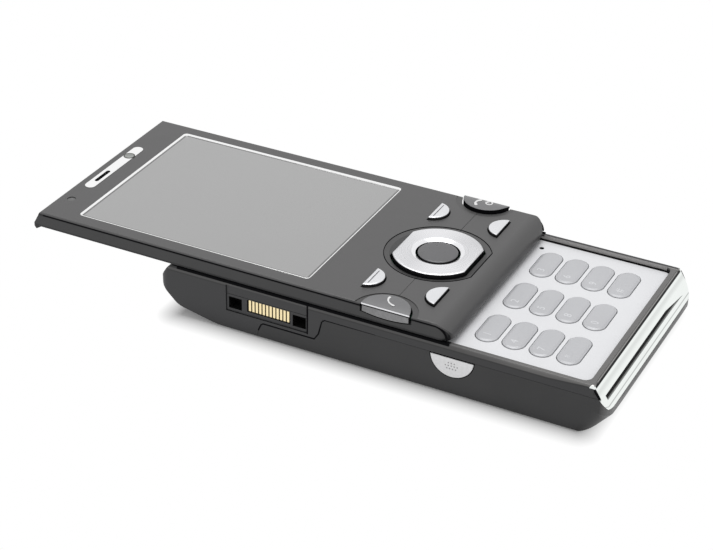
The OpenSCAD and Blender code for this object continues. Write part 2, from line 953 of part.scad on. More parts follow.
module slider_frame() {
    color([0.24, 0.24, 0.25])
        difference() {
            intersection() {
                slider_outside(slider_core_w / 2);
                // rounded in short steps under the rolled end of the front plate
                along_x(slider_w + 2)
                    polygon([
                        [slider_y0 + skin, 5],
                        for (turn = [180 : -15 : 90])
                            frame_roll_centre + frame_roll_r * [cos(turn), sin(turn)],
                        [lip_y + 5, skin_z], [lip_y + 5, 5]
                    ]);
            }
            // upper pocket for the display, the keys and their board
            block([-pocket_x, pocket_y0, deck_top], [pocket_x, pocket_y1, skin_z + 1]);
            // seat of the steel back plate
            block(
                [-back_plate_x, pocket_y0 + 0.9, 10],
                [back_plate_x, pocket_y1 - 0.8, back_plate_top]
            );
            // grooves that the rails run in
            for (side = [-1, 1])
                mirror([side < 0 ? 1 : 0, 0, 0]) {
                    block([back_plate_x - 0.1, groove_y[0], 10], [21.6, groove_y[1], groove_top]);
                    block([back_plate_x, groove_y[0], groove_lip], [22.6, groove_y[1], groove_top]);
                }
            for (side = [-1, 1]) {
                call_notch(side, call_gap + 0.05, call_floor);
                side_cut(side, 23, slider_half + 1)
                    lens_outline(call_gap);
            }
            // pocket for the assist spring
            translate([0, 34, back_plate_top - 0.5])
                cylinder(r = 7, h = 1.2);
        }
}

module slider_back_plate() {
    color([0.55, 0.56, 0.58])
        difference() {
            block(
                [-back_plate_x, pocket_y0 + 0.9, slider_z0],
                [back_plate_x, pocket_y1 - 0.8, back_plate_top]
            );
            block([-6, 56, 10], [6, 70, 13]);
        }
}

// Front plate before it is split, with the openings that both parts share
module front_skin() {
    difference() {
        slider_outside(slider_half);
        under_skin(slider_w + 4);
        translate([0, nav_y, 0]) {
            between(12, 20)
                flatted_circle(nav_r + nav_gap, nav_flat + nav_gap);
            nav_dish();
        }
        for (side = [-1, 1]) {
            call_notch(side, call_gap, 12);
            call_notch(side, 1.55, slider_z1 - engrave);
            for (end = [-1, 1])
                translate([side * soft_x, nav_y + end * soft_edge, 0])
                    between(12, 20)
                        soft_outline(end, soft_gap);
        }
    }
}

// Shallow cone that the navigation ring sits in, cut off straight on the keypad side
module nav_dish() {
    intersection() {
        rotate_extrude()
            polygon([
                [0, slider_z1 - dish_depth], [nav_r + nav_gap, slider_z1 - dish_depth],
                [dish_r, slider_z1 - 0.1], [dish_r, slider_z1 + 1], [0, slider_z1 + 1]
            ]);
        block([-dish_r - 1, -dish_flat, 10], [dish_r + 1, dish_r + 1, 20]);
    }
}

// Outline of a half-round key, grown by extra; end is 1 beside the display, -1 beside the keypad
module soft_outline(end, extra) {
    reach = soft_r + extra + 1;
    mirror([0, end < 0 ? 1 : 0])
        intersection() {
            translate([0, soft_inset])
                circle(r = soft_r + extra);
            translate([-reach, -reach])
                square([2 * reach, reach + extra]);
        }
}

module front_plate_upper() {
    color([0.3, 0.3, 0.31])
        difference() {
            front_skin();
            block([-30, -30, 5], [30, split_y + 0.04, 20]);
            translate([0, window_y, 0])
                between(10, 20)
                    rounded_rect(window_w + 0.06, window_l + 0.06, 0.9);
            translate([0, earpiece_y, 0])
                between(10, 20)
                    oblong(earpiece_size[0] + 0.1, earpiece_size[1] + 0.1);
            translate([sensor_place[0], sensor_place[1], 10])
                cylinder(r = sensor_r, h = 10);
        }
}

module front_plate_lower() {
    color([0.3, 0.3, 0.31])
        difference() {
            front_skin();
            block([-30, split_y - 0.04, 5], [30, 90, 20]);
        }
}

module window_trim() {
    color([0.9, 0.9, 0.9])
        translate([0, window_y, 0])
            difference() {
                between(skin_z, slider_z1 + 0.03)
                    rounded_rect(window_w, window_l, 0.9);
                between(10, 20)
                    rounded_rect(window_w - 2 * trim_w, window_l - 2 * trim_w, 0.6);
                // slope from the plate down to the glass, on all four sides
                intersection() {
                    along_x(window_w)
                        trim_slope(window_l / 2);
                    along_y(-window_l / 2, window_l / 2)
                        trim_slope(window_w / 2);
                }
            }
}

// Section of the space above the glass and the slope round it
module trim_slope(half) {
    polygon([
        [-half + trim_w, glass_top], [half - trim_w, glass_top],
        [half - 0.04, slider_z1 + 0.03], [half - 0.04, slider_z1 + 1],
        [-half + 0.04, slider_z1 + 1], [-half + 0.04, slider_z1 + 0.03]
    ]);
}

module display_window() {
    color([0.7, 0.7, 0.7])
        translate([0, window_y, 0])
            between(skin_z, glass_top)
                rounded_rect(window_w - 2 * trim_w - 0.04, window_l - 2 * trim_w - 0.04, 0.58);
}

module display_module() {
    color([0.4, 0.41, 0.42])
        block([-21.7, window_y - 28.6, deck_top + 0.15], [21.7, window_y + 28.4, skin_z]);
}

module earpiece_trim() {
    color([0.9, 0.9, 0.9])
        translate([0, earpiece_y, 0])
            difference() {
                between(skin_z, slider_z1 + 0.08)
                    oblong(earpiece_size[0], earpiece_size[1]);
                translate([-4.7, 0, 0])
                    between(10, 20)
                        oblong(5.4, 0.9);
                translate([front_camera_x, 0, 10])
                    cylinder(r = front_camera_r + 0.03, h = 10);
            }
}

module earpiece_receiver() {
    color([0.15, 0.15, 0.16])
        block([-10, 73.1, deck_top], [1, 77, skin_z]);
}

module front_camera() {
    color([0.08, 0.08, 0.1]) {
        translate([front_camera_x, earpiece_y, skin_z - 0.2])
            cylinder(r = front_camera_r, h = 0.8);
        block([front_camera_x - 2.5, 73.1, deck_top], [front_camera_x + 2.5, 77, skin_z - 0.1]);
    }
}

module nav_actuator() {
    color([0.5, 0.5, 0.52])
        translate([0, nav_y, 13.35])
            difference() {
                cylinder(r = 6.4, h = 0.25);
                translate([0, 0, -1])
                    cylinder(r = 4.8, h = 3);
            }
}

module nav_ring() {
    color([0.86, 0.86, 0.87])
        translate([0, nav_y, 0])
            intersection() {
                rotate_extrude()
                    polygon([
                        [centre_hole, nav_bottom], [nav_r, nav_bottom], [nav_r, nav_top - 0.2],
                        [nav_r - 0.2, nav_top], [centre_slope, nav_top], [centre_hole, nav_top - 0.4]
                    ]);
                block([-12, -nav_flat, 10], [12, nav_flat, 20]);
            }
}

module nav_centre_key() {
    color([0.45, 0.45, 0.46])
        translate([0, nav_y, 0])
            rotate_extrude()
                polygon([
                    [0, 13.5], [centre_r, 13.5], [centre_r, nav_top - 0.45],
                    [centre_r - 0.25, nav_top - 0.2], [0, nav_top - 0.15]
                ]);
}

module soft_key(side, end) {
    color([0.86, 0.86, 0.87])
        translate([side * soft_x, nav_y + end * soft_edge, 0]) {
            between(13.55, soft_top)
                soft_outline(end, 0);
            between(13.55, skin_z - key_travel)
                soft_outline(end, 0.4);
            translate([0, -end * 1.4, dome_top + key_travel + 0.05])
                cylinder(r = 0.8, h = 0.4);
        }
}

// Call and end keys: the half of a disc that the side edge of the phone leaves, and a lens on that side
module edge_key(side) {
    color([0.5, 0.5, 0.51]) {
        intersection() {
            translate([side * call_x, call_y, call_bottom])
                cylinder(r = call_r, h = call_top - call_bottom);
            block([-call_side, -20, 10], [call_side, 20, 20]);
        }
        side_cut(side, 23.4, call_side)
            lens_outline(0);
        translate([side * 19.3, call_y, 0])
            between(call_bottom, skin_z - key_travel)
                square([2.4, 6], center = true);
    }
}

module slider_key_board() {
    color([0.1, 0.35, 0.2]) {
        block([-22.5, pocket_y0 + 0.3, deck_top], [22.5, 13.2, board_top]);
        for (side = [-1, 1]) {
            for (end = [-1, 1])
                translate([side * soft_x, nav_y + end * (soft_edge - 1.4), board_top - 0.05])
                    cylinder(r = 1.8, h = dome_top - board_top + 0.05);
            translate([side * 19.5, nav_y, board_top - 0.05])
                cylinder(r = 2, h = dome_top - board_top + 0.05);
        }
        translate([0, nav_y, board_top - 0.05])
            cylinder(r = 2.5, h = dome_top - board_top + 0.05);
    }
}

module flex_ribbon() {
    color([0.75, 0.5, 0.2])
        block([-5.5, 13.3, deck_top], [5.5, 66, deck_top + 0.14]);
}

// Torsion spring between the back plate and the deck: one round coil with two legs
module assist_spring() {
    wire = 0.3;
    color([0.7, 0.7, 0.72])
        translate([0, 34, back_plate_top + wire + 0.02]) {
            rotate([0, 0, 60])
                rotate_extrude(angle = 300)
                    translate([3, 0])
                        circle(r = wire);
            for (turn = [0, 60])
                rotate([0, 0, turn])
                    translate([3, 0, 0])
                        rotate([0, 90, 0])
                            cylinder(r = wire, h = 3);
        }
}

main_housing();
battery_cover();
keypad_plate();
number_key(0, 0);  // number_key_1
number_key(1, 0);  // number_key_2
number_key(2, 0);  // number_key_3
number_key(0, 1);  // number_key_4
number_key(1, 1);  // number_key_5
number_key(2, 1);  // number_key_6
number_key(0, 2);  // number_key_7
number_key(1, 2);  // number_key_8
number_key(2, 2);  // number_key_9
number_key(0, 3);  // star_key
number_key(1, 3);  // number_key_0
number_key(2, 3);  // hash_key
key_dome_sheet();
main_board();
shield_can();
battery();
sim_holder();
memory_card_socket();
end_trim();
end_speaker();
connector_block();
connector_contacts();
music_key();
volume_rocker();
camera_key();
headset_jack();
camera_bezel();
camera_lens();
camera_module();
flash_lens();
stand();
stand_pin();
vibration_motor();
case_screws();
base_rail_plate();
slider_frame();
slider_back_plate();
front_plate_upper();
front_plate_lower();
display_window();
window_trim();
display_module();
earpiece_trim();
earpiece_receiver();
front_camera();
nav_actuator();
nav_ring();
nav_centre_key();
soft_key(-1, 1);  // soft_key_left
soft_key(1, 1);  // soft_key_right
soft_key(-1, -1);  // back_key
soft_key(1, -1);  // clear_key
edge_key(-1);  // call_key
edge_key(1);  // end_key
slider_key_board();
flex_ribbon();
assist_spring();
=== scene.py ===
import math

import bmesh
import bpy
from mathutils import Matrix, Vector

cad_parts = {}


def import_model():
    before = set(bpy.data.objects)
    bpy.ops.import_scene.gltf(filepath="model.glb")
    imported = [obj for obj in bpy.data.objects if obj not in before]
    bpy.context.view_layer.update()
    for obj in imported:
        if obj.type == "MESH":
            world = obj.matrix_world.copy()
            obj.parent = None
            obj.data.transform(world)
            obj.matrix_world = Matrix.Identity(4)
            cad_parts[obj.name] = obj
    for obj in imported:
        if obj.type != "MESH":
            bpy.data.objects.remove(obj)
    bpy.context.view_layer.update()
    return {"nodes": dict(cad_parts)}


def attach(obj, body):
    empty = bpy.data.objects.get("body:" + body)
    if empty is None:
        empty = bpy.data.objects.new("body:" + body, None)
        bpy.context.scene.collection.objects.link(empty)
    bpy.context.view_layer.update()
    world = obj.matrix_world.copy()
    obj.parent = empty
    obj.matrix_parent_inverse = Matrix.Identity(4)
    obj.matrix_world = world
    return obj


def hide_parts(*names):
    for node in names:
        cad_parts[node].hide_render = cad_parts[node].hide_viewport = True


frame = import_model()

CAD = frame["nodes"]
MM = 0.001

# Camera fitted to the photo: its lens in millimetres, then its axes and its place in metres
CAMERA_LENS = 98.25
CAMERA_RIGHT = (0.453334, -0.891194, 0.016144)
CAMERA_UP = (0.454424, 0.246662, 0.855954)
CAMERA_BACK = (-0.766803, -0.380697, 0.516800)
CAMERA_PLACE = (-0.310945, -0.137930, 0.214237)

# Light and floor, in metres; each lamp has a place, an aim, a size and a power
WORLD_LIGHT = 0.55
LAMPS = {
    "overhead": ((0.15, 0.10, 0.75), (0, 0.02, 0), 0.55, 2.6),
    "side_fill": ((-0.6, -0.35, 0.35), (0, 0, 0.01), 0.4, 0.4),
}
FLOOR_HALF = 3.0
FLOOR_Z = -0.00002
FLOOR_PAPER = (0.8, 0.8, 0.8, 1)
FOOTPRINT_MIDDLE = (0, 0.001, 0)
FOOTPRINT_HALF = (0.0243, 0.0435, 0)
SHADOW_REACH = 0.005
SHADOW_LOSS = 0.1

# Relief of surfaces, in metres, and colours that several materials share
GRAIN_DEPTH = 0.00003
WAVE_DEPTH = 0.0002
# Near-black for painted shade in gaps, seams, hollows and on shaded faces
PAINTED_SHADE_BLACK = (0.005, 0.005, 0.006)
WHITE = (1, 1, 1, 1)

# Navigation ring, its centre key and its dish, in millimetres like all that follows
NAV_Y = -1.85
NAV_R = 9.3
NAV_FLAT = 7.95
NAV_TOP = 15.6
CENTRE_R = 4.1
CENTRE_HOLE = 4.6
CENTRE_SLOPE = 5.3
# Turn of the painted sheen round the ring, which sets where its darker wedges lie
PAINTED_SHEEN_PHASE = 0.63
DISH_R = 11.1
DISH_FLAT = 9.75
# Black line of painted shade round the dish: its least width, its extra width, and the angle where it is
# widest
DISH_SHADE_WIDTH = (0.14, 0.24)
DISH_SHADE_WIDEST = 205

# Half-round keys beside the ring, and the lines printed on the upper two
SOFT_X = 15.2
SOFT_EDGE = 7.75
SOFT_R = 3.5
SOFT_INSET = 0.54
SOFT_TOP = 15.65
SOFT_LINE_Y = 5.1
SOFT_LINE_HALF = 2.5

# Call and end keys at the sides, and their lens-shaped side faces
CALL_SIDE = 24.45
CALL_INSET = 0.5
CALL_Y = -1.95
CALL_R = 5.2
CALL_LIP = 14.97
CALL_TOP = 15.74
LENS_HALF = 5.0
LENS_Z = (12.95, 13.45, 14.7)

# Number keys: size, places and print
KEY_SIZE = (10.3, 4.6)
KEY_TOP = 10.65
KEY_PITCH = (13.63, 5.64)
KEY_ROW_Y = -20.18
DIGIT_SIZE = 2.3
DIGIT_SHIFT = 2.7
DIGIT_RISE = 0.022
DIGIT_DEPTH = 0.008

# Display window and what is set in the display end
WINDOW = (42.6, 54.2)
WINDOW_Y = 43.5
WINDOW_BORDER = 0.35
GLASS_TOP = 14.75
FRONT_CAMERA = (5.9, 75.6, 0)
LIGHT_SENSOR = (-16.3, 75.75, 0)

# Sliding half: front face, rolled end, seam between front plate and side
FACE = 15.0
SLIDER_END = -15.65
ROLL_R = 3.4
# Depths below the front face where painted shade begins, on the front plate and on the side; then the top and
# bottom depths of the black seam strip of painted shade
SEAM_DEPTH = (0.30, 0.88)
SIDE_SEAM = (0.4, 0.68)
SIDE_X = 24.32

# Lower half: rim, plate, gap under the sliding half, left wall and music key
RIM_END = -45.05
RIM_X = 23.35
BODY_TOP = 11.3
PLATE_TOP = 10.35
# Height and depth of the black strip of painted shade in the gap under the sliding half
GAP_Z = (10.92, 11.42)
GAP_X = (23.8, 24.47)
MIC_HOLE = (19.6, -16.75, 0)
WALL_X = (24.3, 24.53)
MUSIC_Y = -16.45
MUSIC_Z = 8.45
MUSIC_R = 4.57
MUSIC_INSET = 0.4
DOT_PITCH = 0.62
DOT_R = 0.17
DOT_ANGLES = [math.radians(a) for a in range(0, 360, 30)]


def new_object(name, data):
    made = bpy.data.objects.new(name, data)
    bpy.context.scene.collection.objects.link(made)
    return made


# ---------------------------------------------------------------- camera

def make_camera():
    data = bpy.data.cameras.new("photo_camera")
    data.sensor_fit = "HORIZONTAL"
    data.sensor_width = 36
    data.lens = CAMERA_LENS
    data.clip_start = 0.01
    data.clip_end = 20
    camera = new_object("photo_camera", data)
    rows = zip(CAMERA_RIGHT, CAMERA_UP, CAMERA_BACK, CAMERA_PLACE)
    camera.matrix_world = Matrix((*rows, (0, 0, 0, 1)))
    bpy.context.scene.camera = camera


# ---------------------------------------------------------------- materials

def add(tree, kind, inputs=None, **settings):
    """A new shader node; inputs maps a socket's name or number to a value or to another node's output."""
    made = tree.nodes.new("ShaderNode" + kind)
    for name, value in settings.items():
        setattr(made, name, value)
    for key, value in (inputs or {}).items():
        if isinstance(value, bpy.types.NodeSocket):
            tree.links.new(value, made.inputs[key])
        else:
            made.inputs[key].default_value = value
    return made


def principled(name, **uniform):
    """A new material, its node tree and its Principled shader with the given uniform values."""
    material = bpy.data.materials.new(name)
    material.use_nodes = True
    tree = material.node_tree
    shader = tree.nodes["Principled BSDF"]
    for socket, value in uniform.items():
        shader.inputs[socket.replace("_", " ")].default_value = value
    return material, tree, shader


def object_place(tree):
    return add(tree, "TexCoord").outputs["Object"]


def noise(tree, place, scale, detail=3.0, rough=0.5, lengthen=None):
    """Noise over the object's own coordinates in metres; lengthen stretches it along an axis."""
    vector = place
    if lengthen:
        vector = add(tree, "Mapping", {"Vector": place, "Scale": lengthen}).outputs["Vector"]
    return add(tree, "TexNoise", {
        "Vector": vector, "Scale": scale, "Detail": detail, "Roughness": rough,
    }).outputs["Fac"]


def ranged(tree, value, low, high, from_low=0.3, from_high=0.7):
    return add(tree, "MapRange", {
        "Value": value, "From Min": from_low, "From Max": from_high, "To Min": low, "To Max": high,
    }).outputs["Result"]


def blended(tree, factor, first, second):
    """Mix of two colours, each a tuple or a socket."""
    mix = add(tree, "Mix", {"Factor": factor}, data_type="RGBA")
    for socket, value in ((6, first), (7, second)):
        if isinstance(value, bpy.types.NodeSocket):
            tree.links.new(value, mix.inputs[socket])
        else:
            mix.inputs[socket].default_value = (*value, 1)
    return mix.outputs[2]


def shade(colour, amount):
    return tuple(min(1.0, c * amount) for c in colour)


def bumped(tree, shader, height, strength, depth):
    made = add(tree, "Bump", {"Strength": strength, "Distance": depth, "Height": height})
    tree.links.new(made.outputs["Normal"], shader.inputs["Normal"])
    return made


def worn(tree, shader, place, rough, spread):
    """Uneven gloss from handling."""
    wear = noise(tree, place, 260, 4, 0.6)
    tree.links.new(ranged(tree, wear, rough - spread, rough + spread), shader.inputs["Roughness"])


def satin(name, colour, rough, grain=3500, mottle=0.06, relief=0.12, spread=0.05, **uniform):
    """Moulded or painted surface: slow colour drift, fine grain, uneven gloss."""
    material, tree, shader = principled(name, **uniform)
    place = object_place(tree)
    drift = noise(tree, place, 70, 2)
    speck = noise(tree, place, grain, 2)
    tone = add(tree, "Math", {0: drift, 1: speck}, operation="ADD").outputs[0]
    tone = ranged(tree, tone, 0, 1, 0.7, 1.3)
    tree.links.new(
        blended(tree, tone, shade(colour, 1 - mottle), shade(colour, 1 + mottle)),
        shader.inputs["Base Color"])
    worn(tree, shader, place, rough, spread)
    bumped(tree, shader, speck, relief, GRAIN_DEPTH)
    return material


def spun_metal_painted_sheen(name, colour, rough, centre, relief=0.25, **uniform):
    """Metal turned about an upright axis at centre: fine rings, and a two-sided sheen painted into its
    colour, darker in two opposite wedges.
    """
    material, tree, shader = principled(name, Metallic=0.8, Anisotropic=0.75, **uniform)
    place = object_place(tree)
    moved = add(tree, "VectorMath", {0: place, 1: centre}, operation="SUBTRACT").outputs[0]
    flat = add(tree, "VectorMath", {0: moved, 1: (1, 1, 0)}, operation="MULTIPLY").outputs[0]
    reach = add(tree, "VectorMath", {0: flat}, operation="LENGTH").outputs["Value"]
    rings = add(tree, "TexNoise", {"W": reach, "Scale": 9000, "Detail": 3}, noise_dimensions="1D")
    rings = rings.outputs["Fac"]
    parts = add(tree, "SeparateXYZ", {0: flat})
    # Painted sheen: colour darker in two opposite wedges round the centre
    angle = add(tree, "Math", {0: parts.outputs[1], 1: parts.outputs[0]}, operation="ARCTAN2").outputs[0]
    lobes = add(tree, "Math", {0: angle, 1: 2.0}, operation="MULTIPLY").outputs[0]
    lobes = add(tree, "Math", {0: lobes, 1: PAINTED_SHEEN_PHASE}, operation="ADD").outputs[0]
    lobes = add(tree, "Math", {0: lobes}, operation="SINE").outputs[0]
    sheen = ranged(tree, lobes, 0, 1, -1, 1)
    fine = blended(tree, rings, shade(colour, 0.9), shade(colour, 1.06))
    painted_sheen_tone = blended(tree, sheen, shade(colour, 0.5), shade(colour, 1.04))
    both = add(tree, "Mix", {"Factor": 0.5}, data_type="RGBA")
    tree.links.new(fine, both.inputs[6])
    tree.links.new(painted_sheen_tone, both.inputs[7])
    tree.links.new(both.outputs[2], shader.inputs["Base Color"])
    tree.links.new(ranged(tree, rings, rough - 0.06, rough + 0.06), shader.inputs["Roughness"])
    tangent = add(tree, "Tangent", direction_type="RADIAL", axis="Z")
    tree.links.new(tangent.outputs[0], shader.inputs["Tangent"])
    bumped(tree, shader, rings, relief, 0.00001)
    return material


def plated(name, colour, rough, **uniform):
    """Mirror plating with faint waviness, haze and hairline marks."""
    material, tree, shader = principled(name, Metallic=1.0, **uniform)
    place = object_place(tree)
    slow = noise(tree, place, 120, 2)
    hair = noise(tree, place, 900, 3, 0.6, (1, 12, 12))
    metal = blended(tree, slow, shade(colour, 0.95), shade(colour, 1.03))
    tree.links.new(metal, shader.inputs["Base Color"])
    tree.links.new(ranged(tree, hair, rough * 0.6, rough * 1.5), shader.inputs["Roughness"])
    bumped(tree, shader, slow, 0.06, WAVE_DEPTH)
    return material


def glass_over_panel(name, colour):
    """Display window: grey unlit panel with a pixel grid and a darker band along its edge, painted shade
    under the trim, under a glossy cover.
    """
    material, tree, shader = principled(name, IOR=1.5, Coat_Weight=0.6, Coat_Roughness=0.03)
    place = object_place(tree)
    parts = add(tree, "SeparateXYZ", {0: place})
    inner = []
    for socket, middle, half in ((0, 0.0, WINDOW[0] / 2), (1, WINDOW_Y * MM, WINDOW[1] / 2)):
        away = add(tree, "Math", {0: parts.outputs[socket], 1: middle}, operation="SUBTRACT").outputs[0]
        away = add(tree, "Math", {0: away}, operation="ABSOLUTE").outputs[0]
        room = (half - WINDOW_BORDER) * MM
        inner.append(add(tree, "Math", {0: room, 1: away}, operation="SUBTRACT").outputs[0])
    edge = add(tree, "Math", {0: inner[0], 1: inner[1]}, operation="MINIMUM").outputs[0]
    # Painted shade: a darker band along the window's edge, under the trim
    window_edge_shade = ranged(tree, edge, 1, 0, 0.00035, 0.00055)
    grid = add(tree, "TexBrick", {
        "Vector": place, "Color1": WHITE, "Color2": (0.97, 0.97, 0.97, 1),
        "Mortar": (0.86, 0.86, 0.86, 1),
        "Scale": 1.0, "Mortar Size": 0.00001, "Brick Width": 0.000165, "Row Height": 0.000165,
    }, offset=0.0)
    drift = noise(tree, place, 28, 2)
    panel = blended(tree, drift, shade(colour, 0.96), shade(colour, 1.04))
    pixels = add(tree, "Mix", {"Factor": 1.0}, data_type="RGBA", blend_type="MULTIPLY")
    tree.links.new(panel, pixels.inputs[6])
    tree.links.new(grid.outputs["Color"], pixels.inputs[7])
    tree.links.new(blended(tree, window_edge_shade, pixels.outputs[2], shade(colour, 0.3)), shader.inputs["Base Color"])
    dust = noise(tree, place, 420, 4, 0.65)
    tree.links.new(ranged(tree, dust, 0.1, 0.22), shader.inputs["Roughness"])
    return material


def dark_inside(name, colour, edge_x, rough):
    """Housing plastic on the outer face, black as painted shade where the part lies further in than edge_x.
    """
    material, tree, shader = principled(name)
    place = object_place(tree)
    parts = add(tree, "SeparateXYZ", {0: place})
    # Painted shade: black inside the socket, further in than edge_x
    deep_painted_shade = ranged(tree, parts.outputs[0], 0, 1, edge_x * MM - 0.00002, edge_x * MM + 0.00002)
    speck = noise(tree, place, 3500, 2)
    face = blended(tree, speck, shade(colour, 0.92), shade(colour, 1.08))
    tree.links.new(blended(tree, deep_painted_shade, face, (0.004, 0.004, 0.004)), shader.inputs["Base Color"])
    tree.links.new(ranged(tree, speck, rough - 0.05, rough + 0.05), shader.inputs["Roughness"])
    bumped(tree, shader, speck, 0.12, GRAIN_DEPTH)
    return material


def brushed(name, colour, rough, lengthen=(1, 30, 1), **uniform):
    """Sheet metal brushed along one axis."""
    material, tree, shader = principled(name, Metallic=0.9, **uniform)
    place = object_place(tree)
    line = noise(tree, place, 900, 3, 0.6, lengthen)
    tree.links.new(blended(tree, line, shade(colour, 0.88), shade(colour, 1.08)), shader.inputs["Base Color"])
    tree.links.new(ranged(tree, line, rough - 0.08, rough + 0.08), shader.inputs["Roughness"])
    bumped(tree, shader, line, 0.1, 0.00002)
    return material


def axes(tree):
    """Object coordinates and their three parts, in metres."""
    place = object_place(tree)
    return (place, *add(tree, "SeparateXYZ", {0: place}).outputs)


def above(tree, value, level, soft=0.02):
    """0 below a level in millimetres, 1 above it."""
    return ranged(tree, value, 0, 1, (level - soft) * MM, (level + soft) * MM)


def below(tree, value, level, soft=0.02):
    return ranged(tree, value, 1, 0, (level - soft) * MM, (level + soft) * MM)


def all_of(tree, *masks):
    made = masks[0]
    for mask in masks[1:]:
        made = add(tree, "Math", {0: made, 1: mask}, operation="MULTIPLY").outputs[0]
    return made


def skin_reach(tree, y, z):
    """Distance from the middle of the rolled end, or height above it where the front plate is flat."""
    ahead = add(tree, "Math", {0: (SLIDER_END + ROLL_R) * MM, 1: y}, operation="SUBTRACT").outputs[0]
    ahead = add(tree, "Math", {0: ahead, 1: 0.0}, operation="MAXIMUM").outputs[0]
    rise = add(tree, "Math", {0: z, 1: (FACE - ROLL_R) * MM}, operation="SUBTRACT").outputs[0]
    reach = add(tree, "CombineXYZ", {1: ahead, 2: rise}).outputs[0]
    return add(tree, "VectorMath", {0: reach}, operation="LENGTH").outputs["Value"]


def fascia_paint(name, colour, rough):
    """Satin metallic paint with painted shade: darker in the dish, most on its left, and down the rolled end,
    and black below the outer skin in seams and holes.
    """
    material, tree, shader = principled(name, Metallic=0.25)
    place, x, y, z = axes(tree)
    speck = noise(tree, place, 5200, 2)
    drift = noise(tree, place, 60, 2)
    paint = blended(tree, speck, shade(colour, 0.93), shade(colour, 1.07))
    paint = blended(tree, ranged(tree, drift, 0, 0.12), paint, shade(colour, 0.8))
    # Painted shade: the dish darker, most towards its left side
    dish_painted_shade = all_of(tree, below(tree, z, FACE - 0.06), above(tree, z, FACE - 0.5), above(tree, y, NAV_Y - 9.9),
                  below(tree, y, NAV_Y + 11.2), ranged(tree, x, 0.55, 0.2, -0.004, 0.008))
    paint = blended(tree, dish_painted_shade, paint, shade(colour, 0.35))
    # Painted shade: darker down the rolled end, the lower the darker
    paint = blended(tree, ranged(tree, z, 0.75, 0, 0.0122, 0.0147), paint, shade(colour, 0.5))
    # Painted shade: black below the outer skin, in the seam and round the keys
    deep_painted_shade = below(tree, skin_reach(tree, y, z), ROLL_R - SEAM_DEPTH[0], 0.03)
    tree.links.new(blended(tree, deep_painted_shade, paint, PAINTED_SHADE_BLACK), shader.inputs["Base Color"])
    worn(tree, shader, place, rough, 0.04)
    bumped(tree, shader, speck, 0.10, GRAIN_DEPTH)
    return material


def side_plastic(name, colour, rough):
    """Side of the sliding half, with painted shade: black in the seam under the front plate and along the gap
    under it.
    """
    material, tree, shader = principled(name)
    place, _, y, z = axes(tree)
    speck = noise(tree, place, 4200, 2)
    face = blended(tree, speck, shade(colour, 0.93), shade(colour, 1.07))
    # Painted shade: black in the seam under the front plate
    face = blended(tree, above(tree, skin_reach(tree, y, z), ROLL_R - SEAM_DEPTH[1], 0.03), face, PAINTED_SHADE_BLACK)
    # Painted shade: black below 12 mm, along the gap under the sliding half
    tree.links.new(blended(tree, below(tree, z, 12.0, 0.05), face, PAINTED_SHADE_BLACK), shader.inputs["Base Color"])
    worn(tree, shader, place, rough, 0.04)
    bumped(tree, shader, speck, 0.12, GRAIN_DEPTH)
    return material


def housing_plastic(name, colour, rim, rough):
    """Housing: grey paint on the rim round the keypad, with painted shade and light: a darker band under the
    rim paint, a pale inner wall and a black top on the far rim, and black under the sliding half, round the
    keypad plate and beside the trim.
    """
    material, tree, shader = principled(name)
    place, x, y, z = axes(tree)
    speck = noise(tree, place, 3600, 2)
    drift = noise(tree, place, 150, 2)
    body = blended(tree, speck, shade(colour, 0.92), shade(colour, 1.08))
    paint = blended(tree, drift, shade(rim, 0.93), shade(rim, 1.07))
    edge = ranged(tree, y, 10.9 * MM, 10.42 * MM, -0.043, -0.036)
    lift = add(tree, "Math", {0: z, 1: edge}, operation="SUBTRACT").outputs[0]
    # Painted shade: a darker band in the 0.3 mm just under the rim paint
    tone = blended(tree, above(tree, lift, -0.3, 0.15), body, shade(colour, 0.45))
    fading = ranged(tree, y, 1, 0.45, -0.032, -0.016)
    tone = blended(tree, all_of(tree, above(tree, lift, 0, 0.1), fading), tone, paint)
    # Painted light: the far rim's inner wall paler, as if lit
    far_wall_painted_light = all_of(tree, above(tree, x, RIM_X - 0.1), below(tree, x, RIM_X + 0.03), above(tree, z, 10.4))
    tone = blended(tree, far_wall_painted_light, tone, shade(rim, 3.2))
    # Painted shade: the top of the far rim black
    far_ridge_painted_shade = all_of(tree, above(tree, x, RIM_X + 0.05, 0.03), above(tree, z, 10.6))
    tone = blended(tree, far_ridge_painted_shade, tone, PAINTED_SHADE_BLACK)
    # Painted shade: black on the rim under the sliding half
    painted_shade_under_slider = all_of(tree, above(tree, y, SLIDER_END - 0.1, 0.1), above(tree, z, 10.95, 0.08))
    tone = blended(tree, painted_shade_under_slider, tone, PAINTED_SHADE_BLACK)
    # Painted shade: black round the keypad plate, in the gap beside the rim
    groove = all_of(tree, below(tree, z, PLATE_TOP + 0.05), above(tree, z, 9.0), below(tree, x, RIM_X + 0.1),
                    above(tree, x, -RIM_X - 0.1), above(tree, y, RIM_END + 0.9))
    tone = blended(tree, groove, tone, PAINTED_SHADE_BLACK)
    # Painted shade: black line beside the end trim
    slope_painted_shade = all_of(tree, below(tree, y, RIM_END - 0.1), below(tree, z, BODY_TOP - 0.22),
                        above(tree, z, 9.5))
    tone = blended(tree, slope_painted_shade, tone, PAINTED_SHADE_BLACK)
    tree.links.new(tone, shader.inputs["Base Color"])
    tree.links.new(ranged(tree, speck, rough - 0.05, rough + 0.05), shader.inputs["Roughness"])
    bumped(tree, shader, speck, 0.16, GRAIN_DEPTH)
    return material


